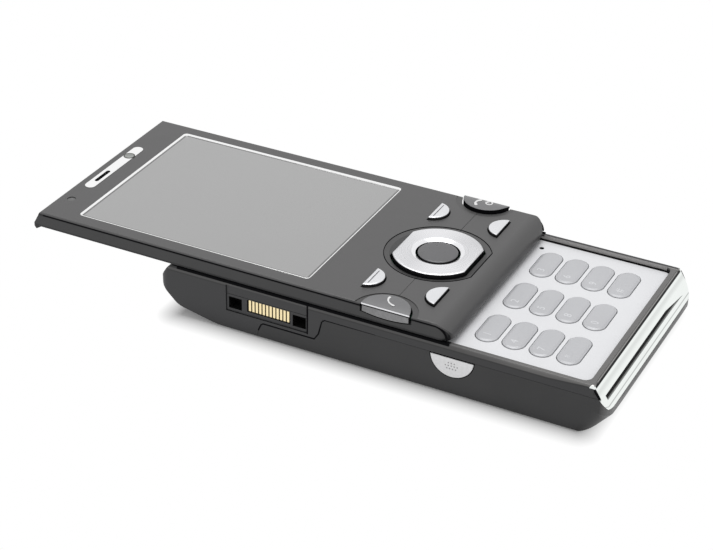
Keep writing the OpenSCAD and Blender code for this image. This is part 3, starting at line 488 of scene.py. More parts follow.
def cover_plastic(name, colour, lip, rough):
    """Satin battery cover, paler where its lip catches the light below the chrome trim."""
    material, tree, shader = principled(name)
    place, _, y, z = axes(tree)
    speck = noise(tree, place, 3000, 2)
    drift = noise(tree, place, 70, 2)
    body = blended(tree, speck, shade(colour, 0.9), shade(colour, 1.1))
    body = blended(tree, ranged(tree, drift, 0, 0.25), body, shade(colour, 0.8))
    front = all_of(tree, below(tree, y, -47.2, 0.7), above(tree, z, 4.3, 0.5))
    tree.links.new(blended(tree, front, body, lip), shader.inputs["Base Color"])
    tree.links.new(ranged(tree, drift, rough - 0.05, rough + 0.05), shader.inputs["Roughness"])
    bumped(tree, shader, speck, 0.2, GRAIN_DEPTH)
    return material


def speaker_black(name):
    """Mesh behind the sound slot: black, paling low down with painted light, as the bright lower wall of the
    slot.
    """
    material, tree, shader = principled(name)
    place, _, y, z = axes(tree)
    grid = noise(tree, place, 3200, 1)
    cloth = blended(tree, grid, (0.002, 0.002, 0.002), (0.008, 0.008, 0.008))
    # Painted light: pale at the bottom, where the slot's lower wall is lit
    wall = all_of(tree, ranged(tree, z, 1, 0, 0.00755, 0.00795), below(tree, y, -45.5))
    tree.links.new(blended(tree, wall, cloth, (0.42, 0.43, 0.42)), shader.inputs["Base Color"])
    shader.inputs["Roughness"].default_value = 0.75
    shader.inputs["Specular IOR Level"].default_value = 0.15
    bumped(tree, shader, grid, 0.2, GRAIN_DEPTH)
    return material


def trim_chrome(name, colour):
    """Mirror plating of the end trim: a soft darker streak along it as painted reflection, black lines as
    painted shade, a darker band low down, and a grey edge at the rim.
    """
    material, tree, shader = principled(name, Metallic=1.0)
    place, x, _, z = axes(tree)
    slow = noise(tree, place, 120, 2)
    hair = noise(tree, place, 900, 3, 0.6, (1, 12, 12))
    plate = blended(tree, slow, shade(colour, 0.97), shade(colour, 1.03))
    # Painted reflection: a darker streak along the trim
    painted_reflection_stripe = all_of(tree, above(tree, z, 9.35, 0.3), below(tree, z, 10.1, 0.15))
    plate = blended(tree, painted_reflection_stripe, plate, shade(colour, 0.84))
    wide = add(tree, "Math", {0: x}, operation="ABSOLUTE").outputs[0]
    rim = all_of(tree, above(tree, z, 11.03), below(tree, wide, 24.2))
    plate = blended(tree, rim, plate, (0.24, 0.235, 0.23))
    # Painted shade: black lines along the top and down the ends
    line = all_of(tree, above(tree, z, 10.6), below(tree, z, 11.03), below(tree, wide, 23.9, 0.1))
    edge = all_of(tree, above(tree, wide, 24.2, 0.05), below(tree, z, 10.7, 0.05), above(tree, z, 8.3, 0.3))
    line = add(tree, "Math", {0: line, 1: edge}, operation="MAXIMUM").outputs[0]
    low = all_of(tree, below(tree, z, 6.9, 0.06), above(tree, z, 6.72, 0.06))
    plate = blended(tree, low, plate, shade(colour, 0.55))
    tree.links.new(blended(tree, line, plate, PAINTED_SHADE_BLACK), shader.inputs["Base Color"])
    tree.links.new(ranged(tree, hair, 0.05, 0.12), shader.inputs["Roughness"])
    bumped(tree, shader, slow, 0.06, WAVE_DEPTH)
    return material


M = {
    "fascia": fascia_paint("fascia_grey_paint", (0.086, 0.085, 0.086), 0.38),
    "side": side_plastic("slider_side_plastic", (0.03, 0.03, 0.031), 0.42),
    "housing": housing_plastic("housing_plastic", (0.026, 0.026, 0.028), (0.13, 0.127, 0.125), 0.42),
    "cover": cover_plastic("cover_plastic", (0.024, 0.024, 0.025), (0.15, 0.15, 0.15), 0.46),
    "speaker": speaker_black("speaker_mesh_black"),
    "keypad": satin("keypad_silver_paint", (0.80, 0.805, 0.825), 0.34, 6500, 0.02, 0.06,
                    Metallic=0.15),
    "number_key": satin("number_key_silver", (0.53, 0.535, 0.555), 0.36, 5200, 0.03, 0.08,
                        Metallic=0.1),
    "digit": satin("digit_print", (0.72, 0.73, 0.75), 0.5, 5200, 0.02, 0.04),
    "nav": spun_metal_painted_sheen("nav_ring_spun_painted_sheen", (0.80, 0.80, 0.82), 0.26, (0, NAV_Y * MM, 0)),
    "nav_slope": satin("nav_slope_polished", (0.86, 0.86, 0.88), 0.14, 5200, 0.02, 0.03, Metallic=0.7),
    "key_silver": satin("half_round_key_silver", (0.76, 0.765, 0.785), 0.24, 5200, 0.03, 0.06,
                        Metallic=0.55),
    "key_black": satin("key_wall_black", (0.006, 0.006, 0.007), 0.35, 3500, 0.1, 0.1),
    "key_grey": satin("key_grey_satin", (0.165, 0.165, 0.17), 0.42, 4800, 0.04, 0.08,
                      Metallic=0.05),
    "centre": satin("centre_key_satin", (0.13, 0.13, 0.135), 0.30, 4200, 0.08, 0.12, Metallic=0.3),
    "strip": plated("key_bright_strip", (0.80, 0.80, 0.82), 0.2),
    "key_facet": satin("key_side_facet", (0.26, 0.26, 0.265), 0.4, 1500, 0.16, 0.35, Metallic=0.2),
    "music": satin("music_key_pearl", (0.92, 0.92, 0.93), 0.3, 1900, 0.06, 0.12),
    "mark_grey": satin("soft_grey_print", (0.42, 0.42, 0.43), 0.5, 5200, 0.03, 0.04),
    "line": plated("bright_line_plating", (0.93, 0.93, 0.93), 0.12),
    "trim": trim_chrome("end_trim_plating", (0.87, 0.90, 0.88)),
    "chrome": plated("chrome_plating", (0.87, 0.90, 0.88), 0.07),
    "screen": glass_over_panel("display_window_glass", (0.355, 0.355, 0.355)),
    # Black with little gloss, for painted shade in gaps, seams and hollows
    "groove": satin("painted_shade_black", (0.004, 0.004, 0.005), 0.85, 3500, 0.1, 0.1,
                    Specular_IOR_Level=0.05),
    "black": satin("black_plastic", (0.012, 0.012, 0.012), 0.4, 3500, 0.1, 0.12),
    "port": dark_inside("connector_plastic", (0.026, 0.026, 0.028), -24.15, 0.42),
    "gold": plated("contact_gold_plating", (1.0, 0.83, 0.50), 0.22),
    "print": satin("white_print", (0.82, 0.82, 0.82), 0.5, 5200, 0.02, 0.04),
    "grey_print": satin("grey_print", (0.13, 0.13, 0.14), 0.5, 5200, 0.03, 0.04),
    "lens": satin("lens_cover_glass", (0.012, 0.014, 0.02), 0.08, 3500, 0.1, 0.0, 0.03,
                  Coat_Weight=1.0, Coat_Roughness=0.02),
    "front_lens": satin("front_lens_glass", (0.20, 0.215, 0.20), 0.12, 3500, 0.05, 0.0, 0.03,
                        Coat_Weight=1.0, Coat_Roughness=0.02),
    "lens_rim": satin("lens_rim_grey", (0.035, 0.035, 0.03), 0.4, 3500, 0.1, 0.05),
    "sensor": satin("sensor_window_grey", (0.12, 0.12, 0.12), 0.35, 3500, 0.1, 0.05),
    "flash": satin("flash_lens_plastic", (0.70, 0.70, 0.60), 0.15, 1800, 0.05, 0.5, 0.04,
                   Coat_Weight=0.6, Coat_Roughness=0.05),
    "steel": brushed("sheet_steel", (0.42, 0.42, 0.44), 0.36),
    "stand": brushed("stand_steel", (0.36, 0.36, 0.38), 0.34, (30, 1, 1)),
    "board": satin("solder_mask", (0.02, 0.10, 0.05), 0.35, 2200, 0.12, 0.2),
    "film": satin("clear_film", (0.60, 0.60, 0.52), 0.25, 2200, 0.04, 0.05),
    "copper_film": satin("flat_cable_film", (0.45, 0.24, 0.07), 0.3, 2200, 0.06, 0.05),
    "battery": satin("battery_label", (0.20, 0.21, 0.23), 0.35, 2600, 0.05, 0.06, Metallic=0.3),
    "panel": satin("display_panel_back", (0.30, 0.31, 0.32), 0.3, 2600, 0.04, 0.05, Metallic=0.4),
}

CAD_LOOKS = {
    "fascia": ["front_plate_upper", "front_plate_lower"],
    "side": ["slider_frame"],
    "housing": ["main_housing"],
    "cover": ["battery_cover"],
    "keypad": ["keypad_plate"],
    "number_key": ["number_key_%d" % i for i in range(10)] + ["star_key", "hash_key"],
    "nav": ["nav_ring"],
    "key_silver": ["soft_key_left", "soft_key_right", "back_key", "clear_key"],
    "key_grey": ["call_key", "end_key"],
    "centre": ["nav_centre_key"],
    "line": ["window_trim", "earpiece_trim"],
    "trim": ["end_trim"],
    "music": ["music_key"],
    "chrome": ["camera_bezel"],
    "screen": ["display_window"],
    "speaker": ["end_speaker"],
    "groove": ["earpiece_receiver"],
    "black": ["headset_jack", "volume_rocker", "camera_key", "camera_module"],
    "port": ["connector_block"],
    "gold": ["connector_contacts"],
    "lens": ["camera_lens", "front_camera"],
    "flash": ["flash_lens"],
    "steel": ["base_rail_plate", "slider_back_plate", "stand_pin", "case_screws", "shield_can", "sim_holder",
              "memory_card_socket", "vibration_motor", "assist_spring", "nav_actuator"],
    "stand": ["stand"],
    "board": ["main_board", "slider_key_board"],
    "film": ["key_dome_sheet"],
    "copper_film": ["flex_ribbon"],
    "battery": ["battery"],
    "panel": ["display_module"],
}


def dress_cad():
    for look, names in CAD_LOOKS.items():
        for name in names:
            for slot in CAD[name].material_slots:
                slot.material = M[look]


# ---------------------------------------------------------------- outlines

def arc(cx, cy, r, start, end, steps):
    turn = [math.radians(start + (end - start) * i / steps) for i in range(steps + 1)]
    return [(cx + r * math.cos(a), cy + r * math.sin(a)) for a in turn]


def oblong(length, width, grow=0.0, steps=20):
    r = width / 2 + grow
    reach = (length - width) / 2
    return arc(reach, 0, r, -90, 90, steps) + arc(-reach, 0, r, 90, 270, steps)


def rounded_rect(width, length, radius, grow=0.0, steps=8):
    x = width / 2 - radius
    y = length / 2 - radius
    r = radius + grow
    return (arc(x, -y, r, -90, 0, steps) + arc(x, y, r, 0, 90, steps)
            + arc(-x, y, r, 90, 180, steps) + arc(-x, -y, r, 180, 270, steps))


def polar_angles(corner):
    """Even angles round a circle, with the four corners where the flats meet the arcs."""
    even = [i * 3.0 for i in range(120)]
    corners = [corner, 180 - corner, 180 + corner, 360 - corner]
    kept = [a for a in even if min(abs(a - c) for c in corners) > 1.2]
    return sorted(kept + corners)


NAV_ANGLES = polar_angles(math.degrees(math.asin(NAV_FLAT / NAV_R)))


def flatted(radius, flat, grow=0.0):
    points = []
    for angle in NAV_ANGLES:
        a = math.radians(angle)
        height = abs(math.sin(a))
        r = radius + grow
        if height > 1e-6:
            r = min(r, (flat + grow) / height)
        points.append((r * math.cos(a), r * math.sin(a)))
    return points


def round_hole(radius):
    return [(radius * math.cos(math.radians(a)), radius * math.sin(math.radians(a))) for a in NAV_ANGLES]


def round_outline(radius, steps=40):
    return arc(0, 0, radius, 0, 360 - 360 / steps, steps - 1)


def half_round(radius, inset, grow=0.0, cut=0.0, steps=32, along=14):
    """Disc whose middle lies inset beyond a straight edge along X; cut takes more off that edge."""
    r = radius + grow
    edge = grow - cut
    a = math.degrees(math.asin(max(-1, min(1, (edge - inset) / r))))
    curve = arc(0, inset, r, 180 - a, 360 + a, steps)
    x = curve[-1][0]
    straight = [(x - 2 * x * i / along, edge) for i in range(1, along)]
    return curve + straight


# ---------------------------------------------------------------- pieces

def on_wall(side):
    """Turns an outline in Y and Z, with its distance from the middle, onto a wall; side -1 is the left."""
    return lambda u, v, h: (side * h, u, v)


def piece(name, points, faces, looks, body, slot, face_looks=None, sharp=32):
    """A mesh object from points in millimetres, which rides on a body."""
    mesh = bpy.data.meshes.new(name)
    mesh.from_pydata([Vector(p) * MM for p in points], [], faces)
    for look in looks:
        mesh.materials.append(M[look])
    if face_looks:
        mesh.polygons.foreach_set("material_index", face_looks)
    work = bmesh.new()
    work.from_mesh(mesh)
    bmesh.ops.remove_doubles(work, verts=work.verts, dist=1e-7)
    bmesh.ops.recalc_face_normals(work, faces=work.faces)
    work.to_mesh(mesh)
    work.free()
    mesh.shade_smooth()
    mesh.set_sharp_from_angle(angle=math.radians(sharp))
    made = new_object(name, mesh)
    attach(made, body)
    return made


def stack(name, rings, band_looks, looks, body, slot, place=(0, 0, 0), turn=None, closed=False,
          cap_looks=(0, 0), sharp=32, straight=None):
    """
    Joins rings, each (outline, height), into one skin; closed joins the last to the first, else caps.
    Where a band's look is a pair, the second is for its faces from number straight on.
    """
    count = len(rings[0][0])
    points = []
    for outline, height in rings:
        for u, v in outline:
            p = turn(u, v, height) if turn else (u, v, height)
            points.append((p[0] + place[0], p[1] + place[1], p[2] + place[2]))
    faces = []
    face_looks = []
    bands = len(rings) if closed else len(rings) - 1
    for band in range(bands):
        low = band * count
        high = ((band + 1) % len(rings)) * count
        for i in range(count):
            j = (i + 1) % count
            faces.append((low + i, low + j, high + j, high + i))
            look = band_looks[band]
            face_looks.append(look if isinstance(look, int) else look[i >= straight])
    if not closed:
        faces.append(tuple(range(count))[::-1])
        faces.append(tuple(range((len(rings) - 1) * count, len(rings) * count)))
        face_looks += list(cap_looks)
    return piece(name, points, faces, looks, body, slot, face_looks, sharp)


def flat_shape(name, outlines, low, high, look, body, slot):
    """Thin printed shape made of one or more outlines in X and Y."""
    points = []
    faces = []
    for outline in outlines:
        start = len(points)
        n = len(outline)
        points += [(x, y, low) for x, y in outline] + [(x, y, high) for x, y in outline]
        faces.append(tuple(start + i for i in range(n))[::-1])
        faces.append(tuple(start + n + i for i in range(n)))
        for i in range(n):
            j = (i + 1) % n
            faces.append((start + i, start + j, start + n + j, start + n + i))
    return piece(name, points, faces, [look], body, slot)


def strip(name, left, right, low, high, look, body, slot, turn=lambda u, v, h: (u, v, h)):
    """Thin band between two open lines in X and Y, or as turn places them."""
    n = len(left)
    points = [turn(x, y, z) for z in (low, high) for line in (left, right) for x, y in line]
    faces = [(0, n, 3 * n, 2 * n), (n - 1, 2 * n - 1, 4 * n - 1, 3 * n - 1)]
    for i in range(n - 1):
        for a, b in ((0, n), (2 * n, 3 * n), (0, 2 * n), (n, 3 * n)):
            faces.append((a + i, a + i + 1, b + i + 1, b + i))
    return piece(name, points, faces, [look], body, slot)


def stroke(path, widths):
    """Closed outline of a line of varying width with round ends."""
    left = []
    right = []
    for i, (x, y) in enumerate(path):
        a = path[max(0, i - 1)]
        b = path[min(len(path) - 1, i + 1)]
        dx = b[0] - a[0]
        dy = b[1] - a[1]
        size = math.hypot(dx, dy)
        nx = -dy / size * widths[i] / 2
        ny = dx / size * widths[i] / 2
        left.append((x + nx, y + ny))
        right.append((x - nx, y - ny))
    ends = []
    for centre, edge in ((path[-1], left[-1]), (path[0], right[0])):
        start = math.degrees(math.atan2(edge[1] - centre[1], edge[0] - centre[0]))
        r = math.hypot(edge[0] - centre[0], edge[1] - centre[1])
        ends.append(arc(centre[0], centre[1], r, start, start - 180, 8)[1:-1])
    return left + ends[0] + right[::-1] + ends[1]


def number_keys():
    looks = ["number_key", "key_black"]
    labels = ["1", "2", "3", "4", "5", "6", "7", "8", "9", "*", "0", "#"]
    names = {"*": "star_key", "#": "hash_key"}
    for index, label in enumerate(labels):
        node = names.get(label, "number_key_" + label)
        x = (index % 3 - 1) * KEY_PITCH[0]
        y = KEY_ROW_Y - index // 3 * KEY_PITCH[1]
        profile = [(0.3, 9.1), (0.3, 9.42), (0, 9.42), (0, 10.42), (-0.05, 10.50), (-0.42, 10.61),
                   (-0.50, 10.645), (-0.60, 10.655), (-1.3, 10.668), (-2.0, 10.672)]
        rings = [(oblong(*KEY_SIZE, g), z) for g, z in profile]
        made = stack(node + "_cap", rings, [0] * (len(rings) - 1), looks, node + "_body", "key_silver",
                     (x, y, 0), sharp=22)
        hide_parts(node)
        digit(label, node, x, y)


def digit(label, node, x, y):
    curve = bpy.data.curves.new(node + "_digit", "FONT")
    curve.body = label
    curve.size = DIGIT_SIZE * MM
    curve.extrude = DIGIT_DEPTH * MM
    curve.resolution_u = 6
    curve.align_x = "CENTER"
    curve.align_y = "CENTER"
    source = new_object(node + "_digit_source", curve)
    bpy.context.view_layer.update()
    mesh = bpy.data.meshes.new_from_object(source.evaluated_get(bpy.context.evaluated_depsgraph_get()))
    bpy.data.objects.remove(source)
    mesh.materials.clear()
    mesh.materials.append(M["digit"])
    mesh.transform(Matrix.Translation(Vector((x - DIGIT_SHIFT, y, KEY_TOP + DIGIT_RISE)) * MM))
    made = new_object(node + "_digit", mesh)
    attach(made, node + "_body")


def nav_keys():
    top = NAV_TOP
    outer = [(0, 13.95), (0, top - 0.17), (-0.02, top - 0.15), (-0.07, top - 0.07), (-0.18, top - 0.02),
             (-0.4, top)]
    inner = [(7.3, top), (6.3, top), (5.6, top), (CENTRE_SLOPE + 0.12, top - 0.02),
             (CENTRE_SLOPE, top - 0.06), (CENTRE_HOLE + 0.1, top - 0.39), (CENTRE_HOLE, top - 0.44),
             (CENTRE_HOLE, 13.95)]
    rings = [(flatted(NAV_R, NAV_FLAT, g), z) for g, z in outer] + [(round_hole(r), z) for r, z in inner]
    bands = [1, 1, 0, 0, 0, 0, 0, 0, 0, 2, 2, 2, 1, 1]
    ring = stack("nav_ring_top", rings, bands, ["nav", "key_black", "nav_slope"], "nav_ring_body",
                 "nav_silver", (0, NAV_Y, 0), closed=True, sharp=30)
    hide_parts("nav_ring")
    r = CENTRE_R
    profile = [(r, 13.5), (r, 15.28), (r - 0.03, 15.33), (r - 0.12, 15.38), (r - 0.3, 15.41),
               (r - 0.6, 15.425), (2.6, 15.44), (1.3, 15.448), (0.4, 15.45)]
    rings = [(round_hole(r), z) for r, z in profile]
    key = stack("nav_centre_cap", rings, [1] + [0] * 7, ["centre", "key_black"], "centre_button", "key_grey",
                (0, NAV_Y, 0), sharp=40)
    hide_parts("nav_centre_key")


def dish_shade_lines():
    """Black lines of painted shade round the dish of the navigation ring, widest on the left, and along its
    two flats.
    """
    steps = 96
    end = math.degrees(math.asin(DISH_FLAT / DISH_R))
    outer = []
    inner = []
    for i in range(steps + 1):
        angle = -end + (180 + 2 * end) * i / steps
        a = math.radians(angle)
        swell = max(0, math.cos(math.radians(angle - DISH_SHADE_WIDEST))) ** 0.6
        width = DISH_SHADE_WIDTH[0] + DISH_SHADE_WIDTH[1] * swell
        for line, r in ((outer, DISH_R), (inner, DISH_R - width)):
            line.append((r * math.cos(a), NAV_Y + r * math.sin(a)))
    strip("dish_shade_line", outer, inner, FACE - 0.16, FACE - 0.05, "groove", "slider", "fascia_grey")
    half = DISH_R * math.cos(math.radians(end))
    near = NAV_Y - DISH_FLAT
    bar = [(-half, near), (half, near), (half, near + 0.3), (-half, near + 0.3)]
    flat_shape("dish_flat_shade", [bar], FACE - 0.3, FACE - 0.07, "groove", "slider", "fascia_grey")
    far = NAV_Y + NAV_FLAT + 0.45
    half = 4.9
    bar = [(-half, far), (half, far), (half, far + 0.13), (-half, far + 0.13)]
    flat_shape("ring_hole_shade", [bar], FACE - 0.31, FACE - 0.285, "groove", "slider", "fascia_grey")


def soft_keys():
    top = SOFT_TOP
    for node, side, end in (("soft_key_left", -1, 1), ("soft_key_right", 1, 1), ("back_key", -1, -1),
                            ("clear_key", 1, -1)):
        profile = [(0.4, 13.55), (0.4, 13.98), (0, 13.98), (0, top - 0.17), (-0.015, top - 0.13),
                   (-0.06, top - 0.07), (-0.15, top - 0.03), (-0.3, top - 0.01), (-0.8, top), (-1.2, top)]
        rings = [(half_round(SOFT_R, SOFT_INSET, g), z) for g, z in profile]
        bands = [1, 1, 1] + [0] * 6
        made = stack(node + "_cap", rings, bands, ["key_silver", "key_black"], node + "_body", "nav_silver",
                     (side * SOFT_X, NAV_Y + end * SOFT_EDGE, 0),
                     turn=lambda u, v, h, end=end: (u, end * v, h), sharp=28)
        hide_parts(node)
    for node, x in (("soft_key_left", -SOFT_X), ("soft_key_right", SOFT_X)):
        path = [(x + SOFT_LINE_HALF * along, SOFT_LINE_Y) for along in (-1, 0, 1)]
        flat_shape(node + "_line", [stroke(path, [0.2, 0.26, 0.2])], top - 0.02, top + 0.006, "grey_print",
                   node + "_body", "nav_silver")


def lens_outline(grow):
    """Lens-shaped side face of a call or end key: along and up, from its lower arc to its straight top."""
    drop = LENS_Z[1] - LENS_Z[0]
    r = (LENS_HALF * LENS_HALF + drop * drop) / (2 * drop)
    half = math.degrees(math.asin(LENS_HALF / r))
    lower = [((r + grow) * math.sin(math.radians(-half + half * i / 8)),
              LENS_Z[0] + r - (r + grow) * math.cos(math.radians(half * (i / 8 - 1)))) for i in range(17)]
    return lower + [(LENS_HALF + grow, LENS_Z[2]), (-LENS_HALF - grow, LENS_Z[2])]


def edge_keys():
    """Call and end keys, each with a lens-shaped facet and a black line of painted shadow on its side."""
    low = CALL_LIP
    for node, side in (("call_key", -1), ("end_key", 1)):
        def turn(u, v, h, side=side):
            lean = max(0.0, 1 + v / 2.4) ** 2 * 0.5
            return side * v, u, h if h < low else low + (h - low) * (1 - lean)

        top = CALL_TOP
        profile = [(0, 0.3, 13.5), (0, 0.3, low - 0.01), (0, 0, low), (0, 0, top - 0.09),
                   (-0.03, 0.02, top - 0.05), (-0.1, 0.06, top - 0.02), (-0.3, 0.2, top), (-0.6, 0.8, top),
                   (-0.9, 1.3, top)]
        rings = [(half_round(CALL_R, CALL_INSET, g, c), z) for g, c, z in profile]
        # Walls under each key's top are black as painted shade, save the straight outer edge, which is the
        # bright strip
        bands = [1, 1, (1, 2), 0, 0, 0, 0, 0]
        made = stack(node + "_cap", rings, bands, ["key_grey", "groove", "strip"], node + "_body", "key_grey",
                     (side * CALL_SIDE, CALL_Y, 0), turn=turn, sharp=24, straight=32)
        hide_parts(node)
        rings = [(lens_outline(g), h) for g, h in ((0, 23.4), (0, CALL_SIDE - 0.1),
                                                  (-0.04, CALL_SIDE - 0.03), (-0.1, CALL_SIDE))]
        stack(node + "_facet", rings, [1, 0, 0], ["key_facet", "key_black"], node + "_body", "key_grey",
              (0, CALL_Y, 0), turn=on_wall(side), sharp=28)
        ends = [CALL_Y - LENS_HALF + 0.1, CALL_Y + LENS_HALF - 0.1]
        lines = [[(y, z) for y in ends] for z in (LENS_Z[2] + 0.02, low - 0.02)]
        strip(node + "_shadow_line", *lines, 24.0, 24.36, "groove", node + "_body", "key_grey", on_wall(side))
    marks = CALL_TOP - 0.02, CALL_TOP + 0.008
    handset = stroke([(-20.75, -1.15), (-21.2, -1.12), (-21.9, -1.35), (-22.5, -1.8), (-22.95, -2.5),
                      (-23.15, -3.1)], [0.5, 0.42, 0.3, 0.3, 0.4, 0.5])
    flat_shape("call_mark", [handset], *marks, "print", "call_key_body", "key_grey")
    handset = stroke([(23.35, -0.85), (22.9, -0.45), (22.3, -0.3), (21.7, -0.4), (21.25, -0.75)],
                     [0.7, 0.5, 0.42, 0.5, 0.7])
    x, y = 23.05, -3.0
    ring = stroke(arc(x, y, 0.68, 120, 420, 20), [0.3] * 21)
    stem = stroke([(x, y), (x, y + 0.8)], [0.26, 0.26])
    flat_shape("end_mark", [handset, ring, stem], *marks, "print", "end_key_body", "key_grey")


def music_key():
    """Half-round key on the left wall, with a soft edge and three generic rows of dots; a black ring of
    painted shade lies in the gap round it.
    """
    profile = [(0, 21.8), (0, 24.5), (-0.03, 24.6), (-0.1, 24.67), (-0.22, 24.7), (-0.8, 24.7)]
    rings = [(half_round(MUSIC_R, MUSIC_INSET, g), h) for g, h in profile]
    made = stack("music_key_cap", rings, [1, 0, 0, 0, 0], ["music", "key_black"], "music_button",
                 "trim_chrome", (0, MUSIC_Y, MUSIC_Z), turn=on_wall(-1), sharp=28)
    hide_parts("music_key")
    profile = [(0.2, 24.3), (0.2, 24.52), (0.03, 24.52), (0.03, 24.3)]
    rings = [(half_round(MUSIC_R, MUSIC_INSET, g), h) for g, h in profile]
    stack("music_key_gap_shade", rings, [0] * 4, ["groove"], "phone_body", "trim_chrome",
          (0, MUSIC_Y, MUSIC_Z), turn=on_wall(-1), closed=True)
    for row, count in enumerate((3, 5, 4)):
        for i in range(count):
            y = MUSIC_Y + DOT_PITCH * (i - (count - 1) / 2)
            z = MUSIC_Z - 1.0 - DOT_PITCH * row
            dot = [(y + DOT_R * math.cos(a), z + DOT_R * math.sin(a)) for a in DOT_ANGLES]
            rings = [(dot, 24.6), (dot, 24.703)]
            stack("music_dot_%d_%d" % (row, i), rings, [0], ["mark_grey"], "music_button", "trim_chrome",
                  turn=on_wall(-1))


def dress_window():
    """Bright trim round the window, with a slope down to the glass."""
    outline = [(0, 14.3), (0, 15.02), (-0.03, 15.03), (-0.2, 15.03), (-0.36, GLASS_TOP + 0.03),
               (-0.38, GLASS_TOP + 0.005), (-0.34, GLASS_TOP - 0.02), (-0.34, 14.3)]
    rings = [(rounded_rect(WINDOW[0], WINDOW[1], 0.9, g), z) for g, z in outline]
    trim = stack("window_trim_line", rings, [0] * 8, ["line"], "slider", "bright_line", (0, WINDOW_Y, 0),
                 closed=True)
    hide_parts("window_trim")


def dress_earpiece():
    """Camera window set in the bright earpiece trim, and the hollow of the light sensor beside it."""
    rings = [(round_outline(1.28), 14.9), (round_outline(1.28), 15.105), (round_outline(1.2), 15.12),
             (round_outline(1.0), 15.12), (round_outline(0.92), 15.1)]
    stack("camera_window", rings, [0, 0, 0, 1], ["lens_rim", "front_lens"], "slider", "bright_line",
          FRONT_CAMERA, cap_looks=(0, 1))
    rings = [(round_outline(0.94), 14.35), (round_outline(0.94), 14.82), (round_outline(0.5), 14.9)]
    stack("sensor_window", rings, [0, 0], ["sensor"], "slider", "fascia_grey", LIGHT_SENSOR)


def side_shade_lines():
    """Black strips of painted shade in the gap under the sliding half, and in the seam between its front
    plate and its side.
    """
    roll_y = SLIDER_END + ROLL_R
    roll_z = FACE - ROLL_R
    for side, label in ((-1, "left"), (1, "right")):
        turn = on_wall(side)
        ends = (SLIDER_END + 0.05, 45.0)
        lines = [[(y, z) for y in ends] for z in GAP_Z]
        strip("gap_shade_" + label, *lines, *GAP_X, "groove", "phone_body", "housing_dark", turn)
        lines = [[], []]
        for line, depth in zip(lines, SIDE_SEAM):
            line.append((CALL_Y - LENS_HALF - 0.5, FACE - depth))
            line += arc(roll_y, roll_z, ROLL_R - depth, 90, 176, 24)
        strip("roll_seam_shade_" + label, *lines, 24.0, SIDE_X, "groove", "slider", "slider_side", turn)
        ends = (CALL_Y + LENS_HALF + 0.5, 77.5)
        lines = [[(y, FACE - depth) for y in ends] for depth in SIDE_SEAM]
        strip("side_seam_shade_" + label, *lines, 24.0, SIDE_X, "groove", "slider", "slider_side", turn)


def wall_shade_line(name, path, widths):
    """Black line of painted shade on the left wall of the lower half, along a path in Y and Z."""
    outline = stroke(path, widths)
    stack(name, [(outline, x) for x in WALL_X], [0], ["groove"], "phone_body", "housing_dark",
          turn=on_wall(-1))


def wall_shade_lines():
    """Painted shade in the gap beside the connector block, and along the edge of the battery cover below and
    beside it.
    """
    wall_shade_line("port_gap_shade", [(14.95, 11.1), (14.95, 8.0), (14.95, 4.5)], [0.34, 0.34, 0.3])
    edge = [(26.1, 2.0), (25.5, 3.35), (25.0, 3.75), (19.0, 3.75), (13.4, 3.75), (12.45, 5.2), (11.75, 8.2),
            (11.1, 8.75), (6.0, 8.75), (0.0, 8.75)]
    wall_shade_line("cover_edge_shade", edge, [0.28, 0.3, 0.3, 0.3, 0.34, 0.3, 0.26, 0.2, 0.14, 0.08])


def microphone():
    """Black bottom of the microphone hole at the corner of the keypad: painted shade in the hole."""
    rings = [(round_outline(0.49), z) for z in (10.0, 10.33)]
    stack("mic_hole_shade", rings, [0], ["groove"], "phone_body", "keypad_silver", MIC_HOLE)


make_camera()
dress_cad()
side_shade_lines()
wall_shade_lines()
microphone()
dress_earpiece()
number_keys()
nav_keys()
soft_keys()
edge_keys()
music_key()
dish_shade_lines()
dress_window()


# ---------------------------------------------------------------- stage

def seen_directly(tree):
    """1 for the eye, also in mirrors and through glass; 0 for the light that falls on the object."""
    path = add(tree, "LightPath")
    eye = path.outputs["Is Camera Ray"]
    for kind in ("Is Glossy Ray", "Is Transmission Ray"):
        eye = add(tree, "Math", {0: eye, 1: path.outputs[kind]}, operation="MAXIMUM").outputs[0]
    return eye


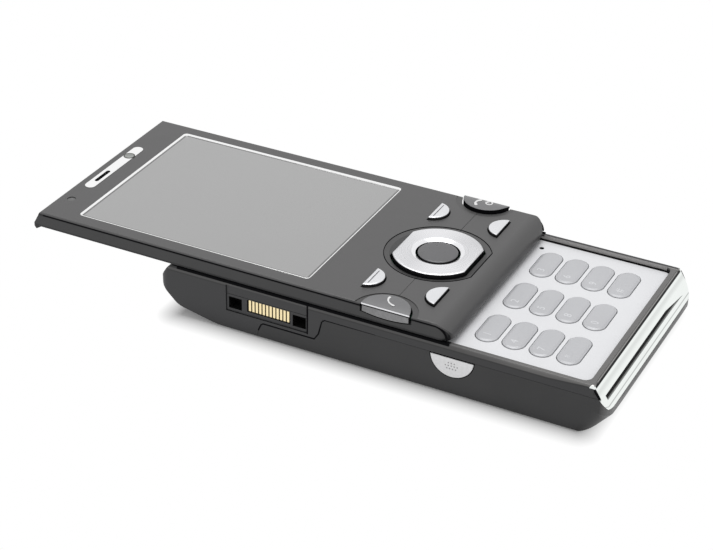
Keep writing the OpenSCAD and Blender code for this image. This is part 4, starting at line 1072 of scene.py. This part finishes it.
def stage():
    """Pale floor that keeps its shadow and turns to plain white away from the object."""
    mesh = bpy.data.meshes.new("floor")
    corners = [(FLOOR_HALF * x, FLOOR_HALF * y, FLOOR_Z) for x, y in ((-1, -1), (1, -1), (1, 1), (-1, 1))]
    mesh.from_pydata(corners, [], [(0, 1, 2, 3)])
    material = bpy.data.materials.new("floor_paper")
    material.use_nodes = True
    tree = material.node_tree
    tree.nodes.clear()
    paper = add(tree, "BsdfDiffuse", {"Color": FLOOR_PAPER})
    white = add(tree, "Emission", {"Color": WHITE, "Strength": 1.0})
    away = object_place(tree)
    for operation, second in (("SUBTRACT", FOOTPRINT_MIDDLE), ("ABSOLUTE", (0, 0, 0)),
                              ("SUBTRACT", FOOTPRINT_HALF), ("MAXIMUM", (0, 0, 0))):
        away = add(tree, "VectorMath", {0: away, 1: second}, operation=operation).outputs[0]
    reach = add(tree, "VectorMath", {0: away}, operation="LENGTH").outputs["Value"]
    far = ranged(tree, reach, SHADOW_LOSS, 1, 0.0, SHADOW_REACH)
    seen = add(tree, "MixShader", {0: far, 1: paper.outputs[0], 2: white.outputs[0]})
    both = add(tree, "MixShader", {0: seen_directly(tree), 1: paper.outputs[0], 2: seen.outputs[0]})
    out = add(tree, "OutputMaterial")
    tree.links.new(both.outputs[0], out.inputs["Surface"])
    mesh.materials.append(material)
    floor = new_object("floor", mesh)


def world():
    """White background to the eye, softer light on the object."""
    made = bpy.data.worlds.new("studio")
    bpy.context.scene.world = made
    made.use_nodes = True
    tree = made.node_tree
    tree.nodes.clear()
    soft = add(tree, "Background", {"Color": WHITE, "Strength": WORLD_LIGHT})
    white = add(tree, "Background", {"Color": WHITE, "Strength": 1.0})
    both = add(tree, "MixShader", {0: seen_directly(tree), 1: soft.outputs[0], 2: white.outputs[0]})
    out = add(tree, "OutputWorld")
    tree.links.new(both.outputs[0], out.inputs["Surface"])


def lamp(name, place, aim, size, power):
    data = bpy.data.lights.new(name, "AREA")
    data.shape = "DISK"
    data.size = size
    data.energy = power
    made = new_object(name, data)
    made.location = place
    made.rotation_mode = "QUATERNION"
    made.rotation_quaternion = (Vector(aim) - Vector(place)).to_track_quat("-Z", "Y")


world()
stage()
for name, settings in LAMPS.items():
    lamp(name, *settings)

bpy.context.scene.view_settings.view_transform = "Standard"

bpy.context.view_layer.update()
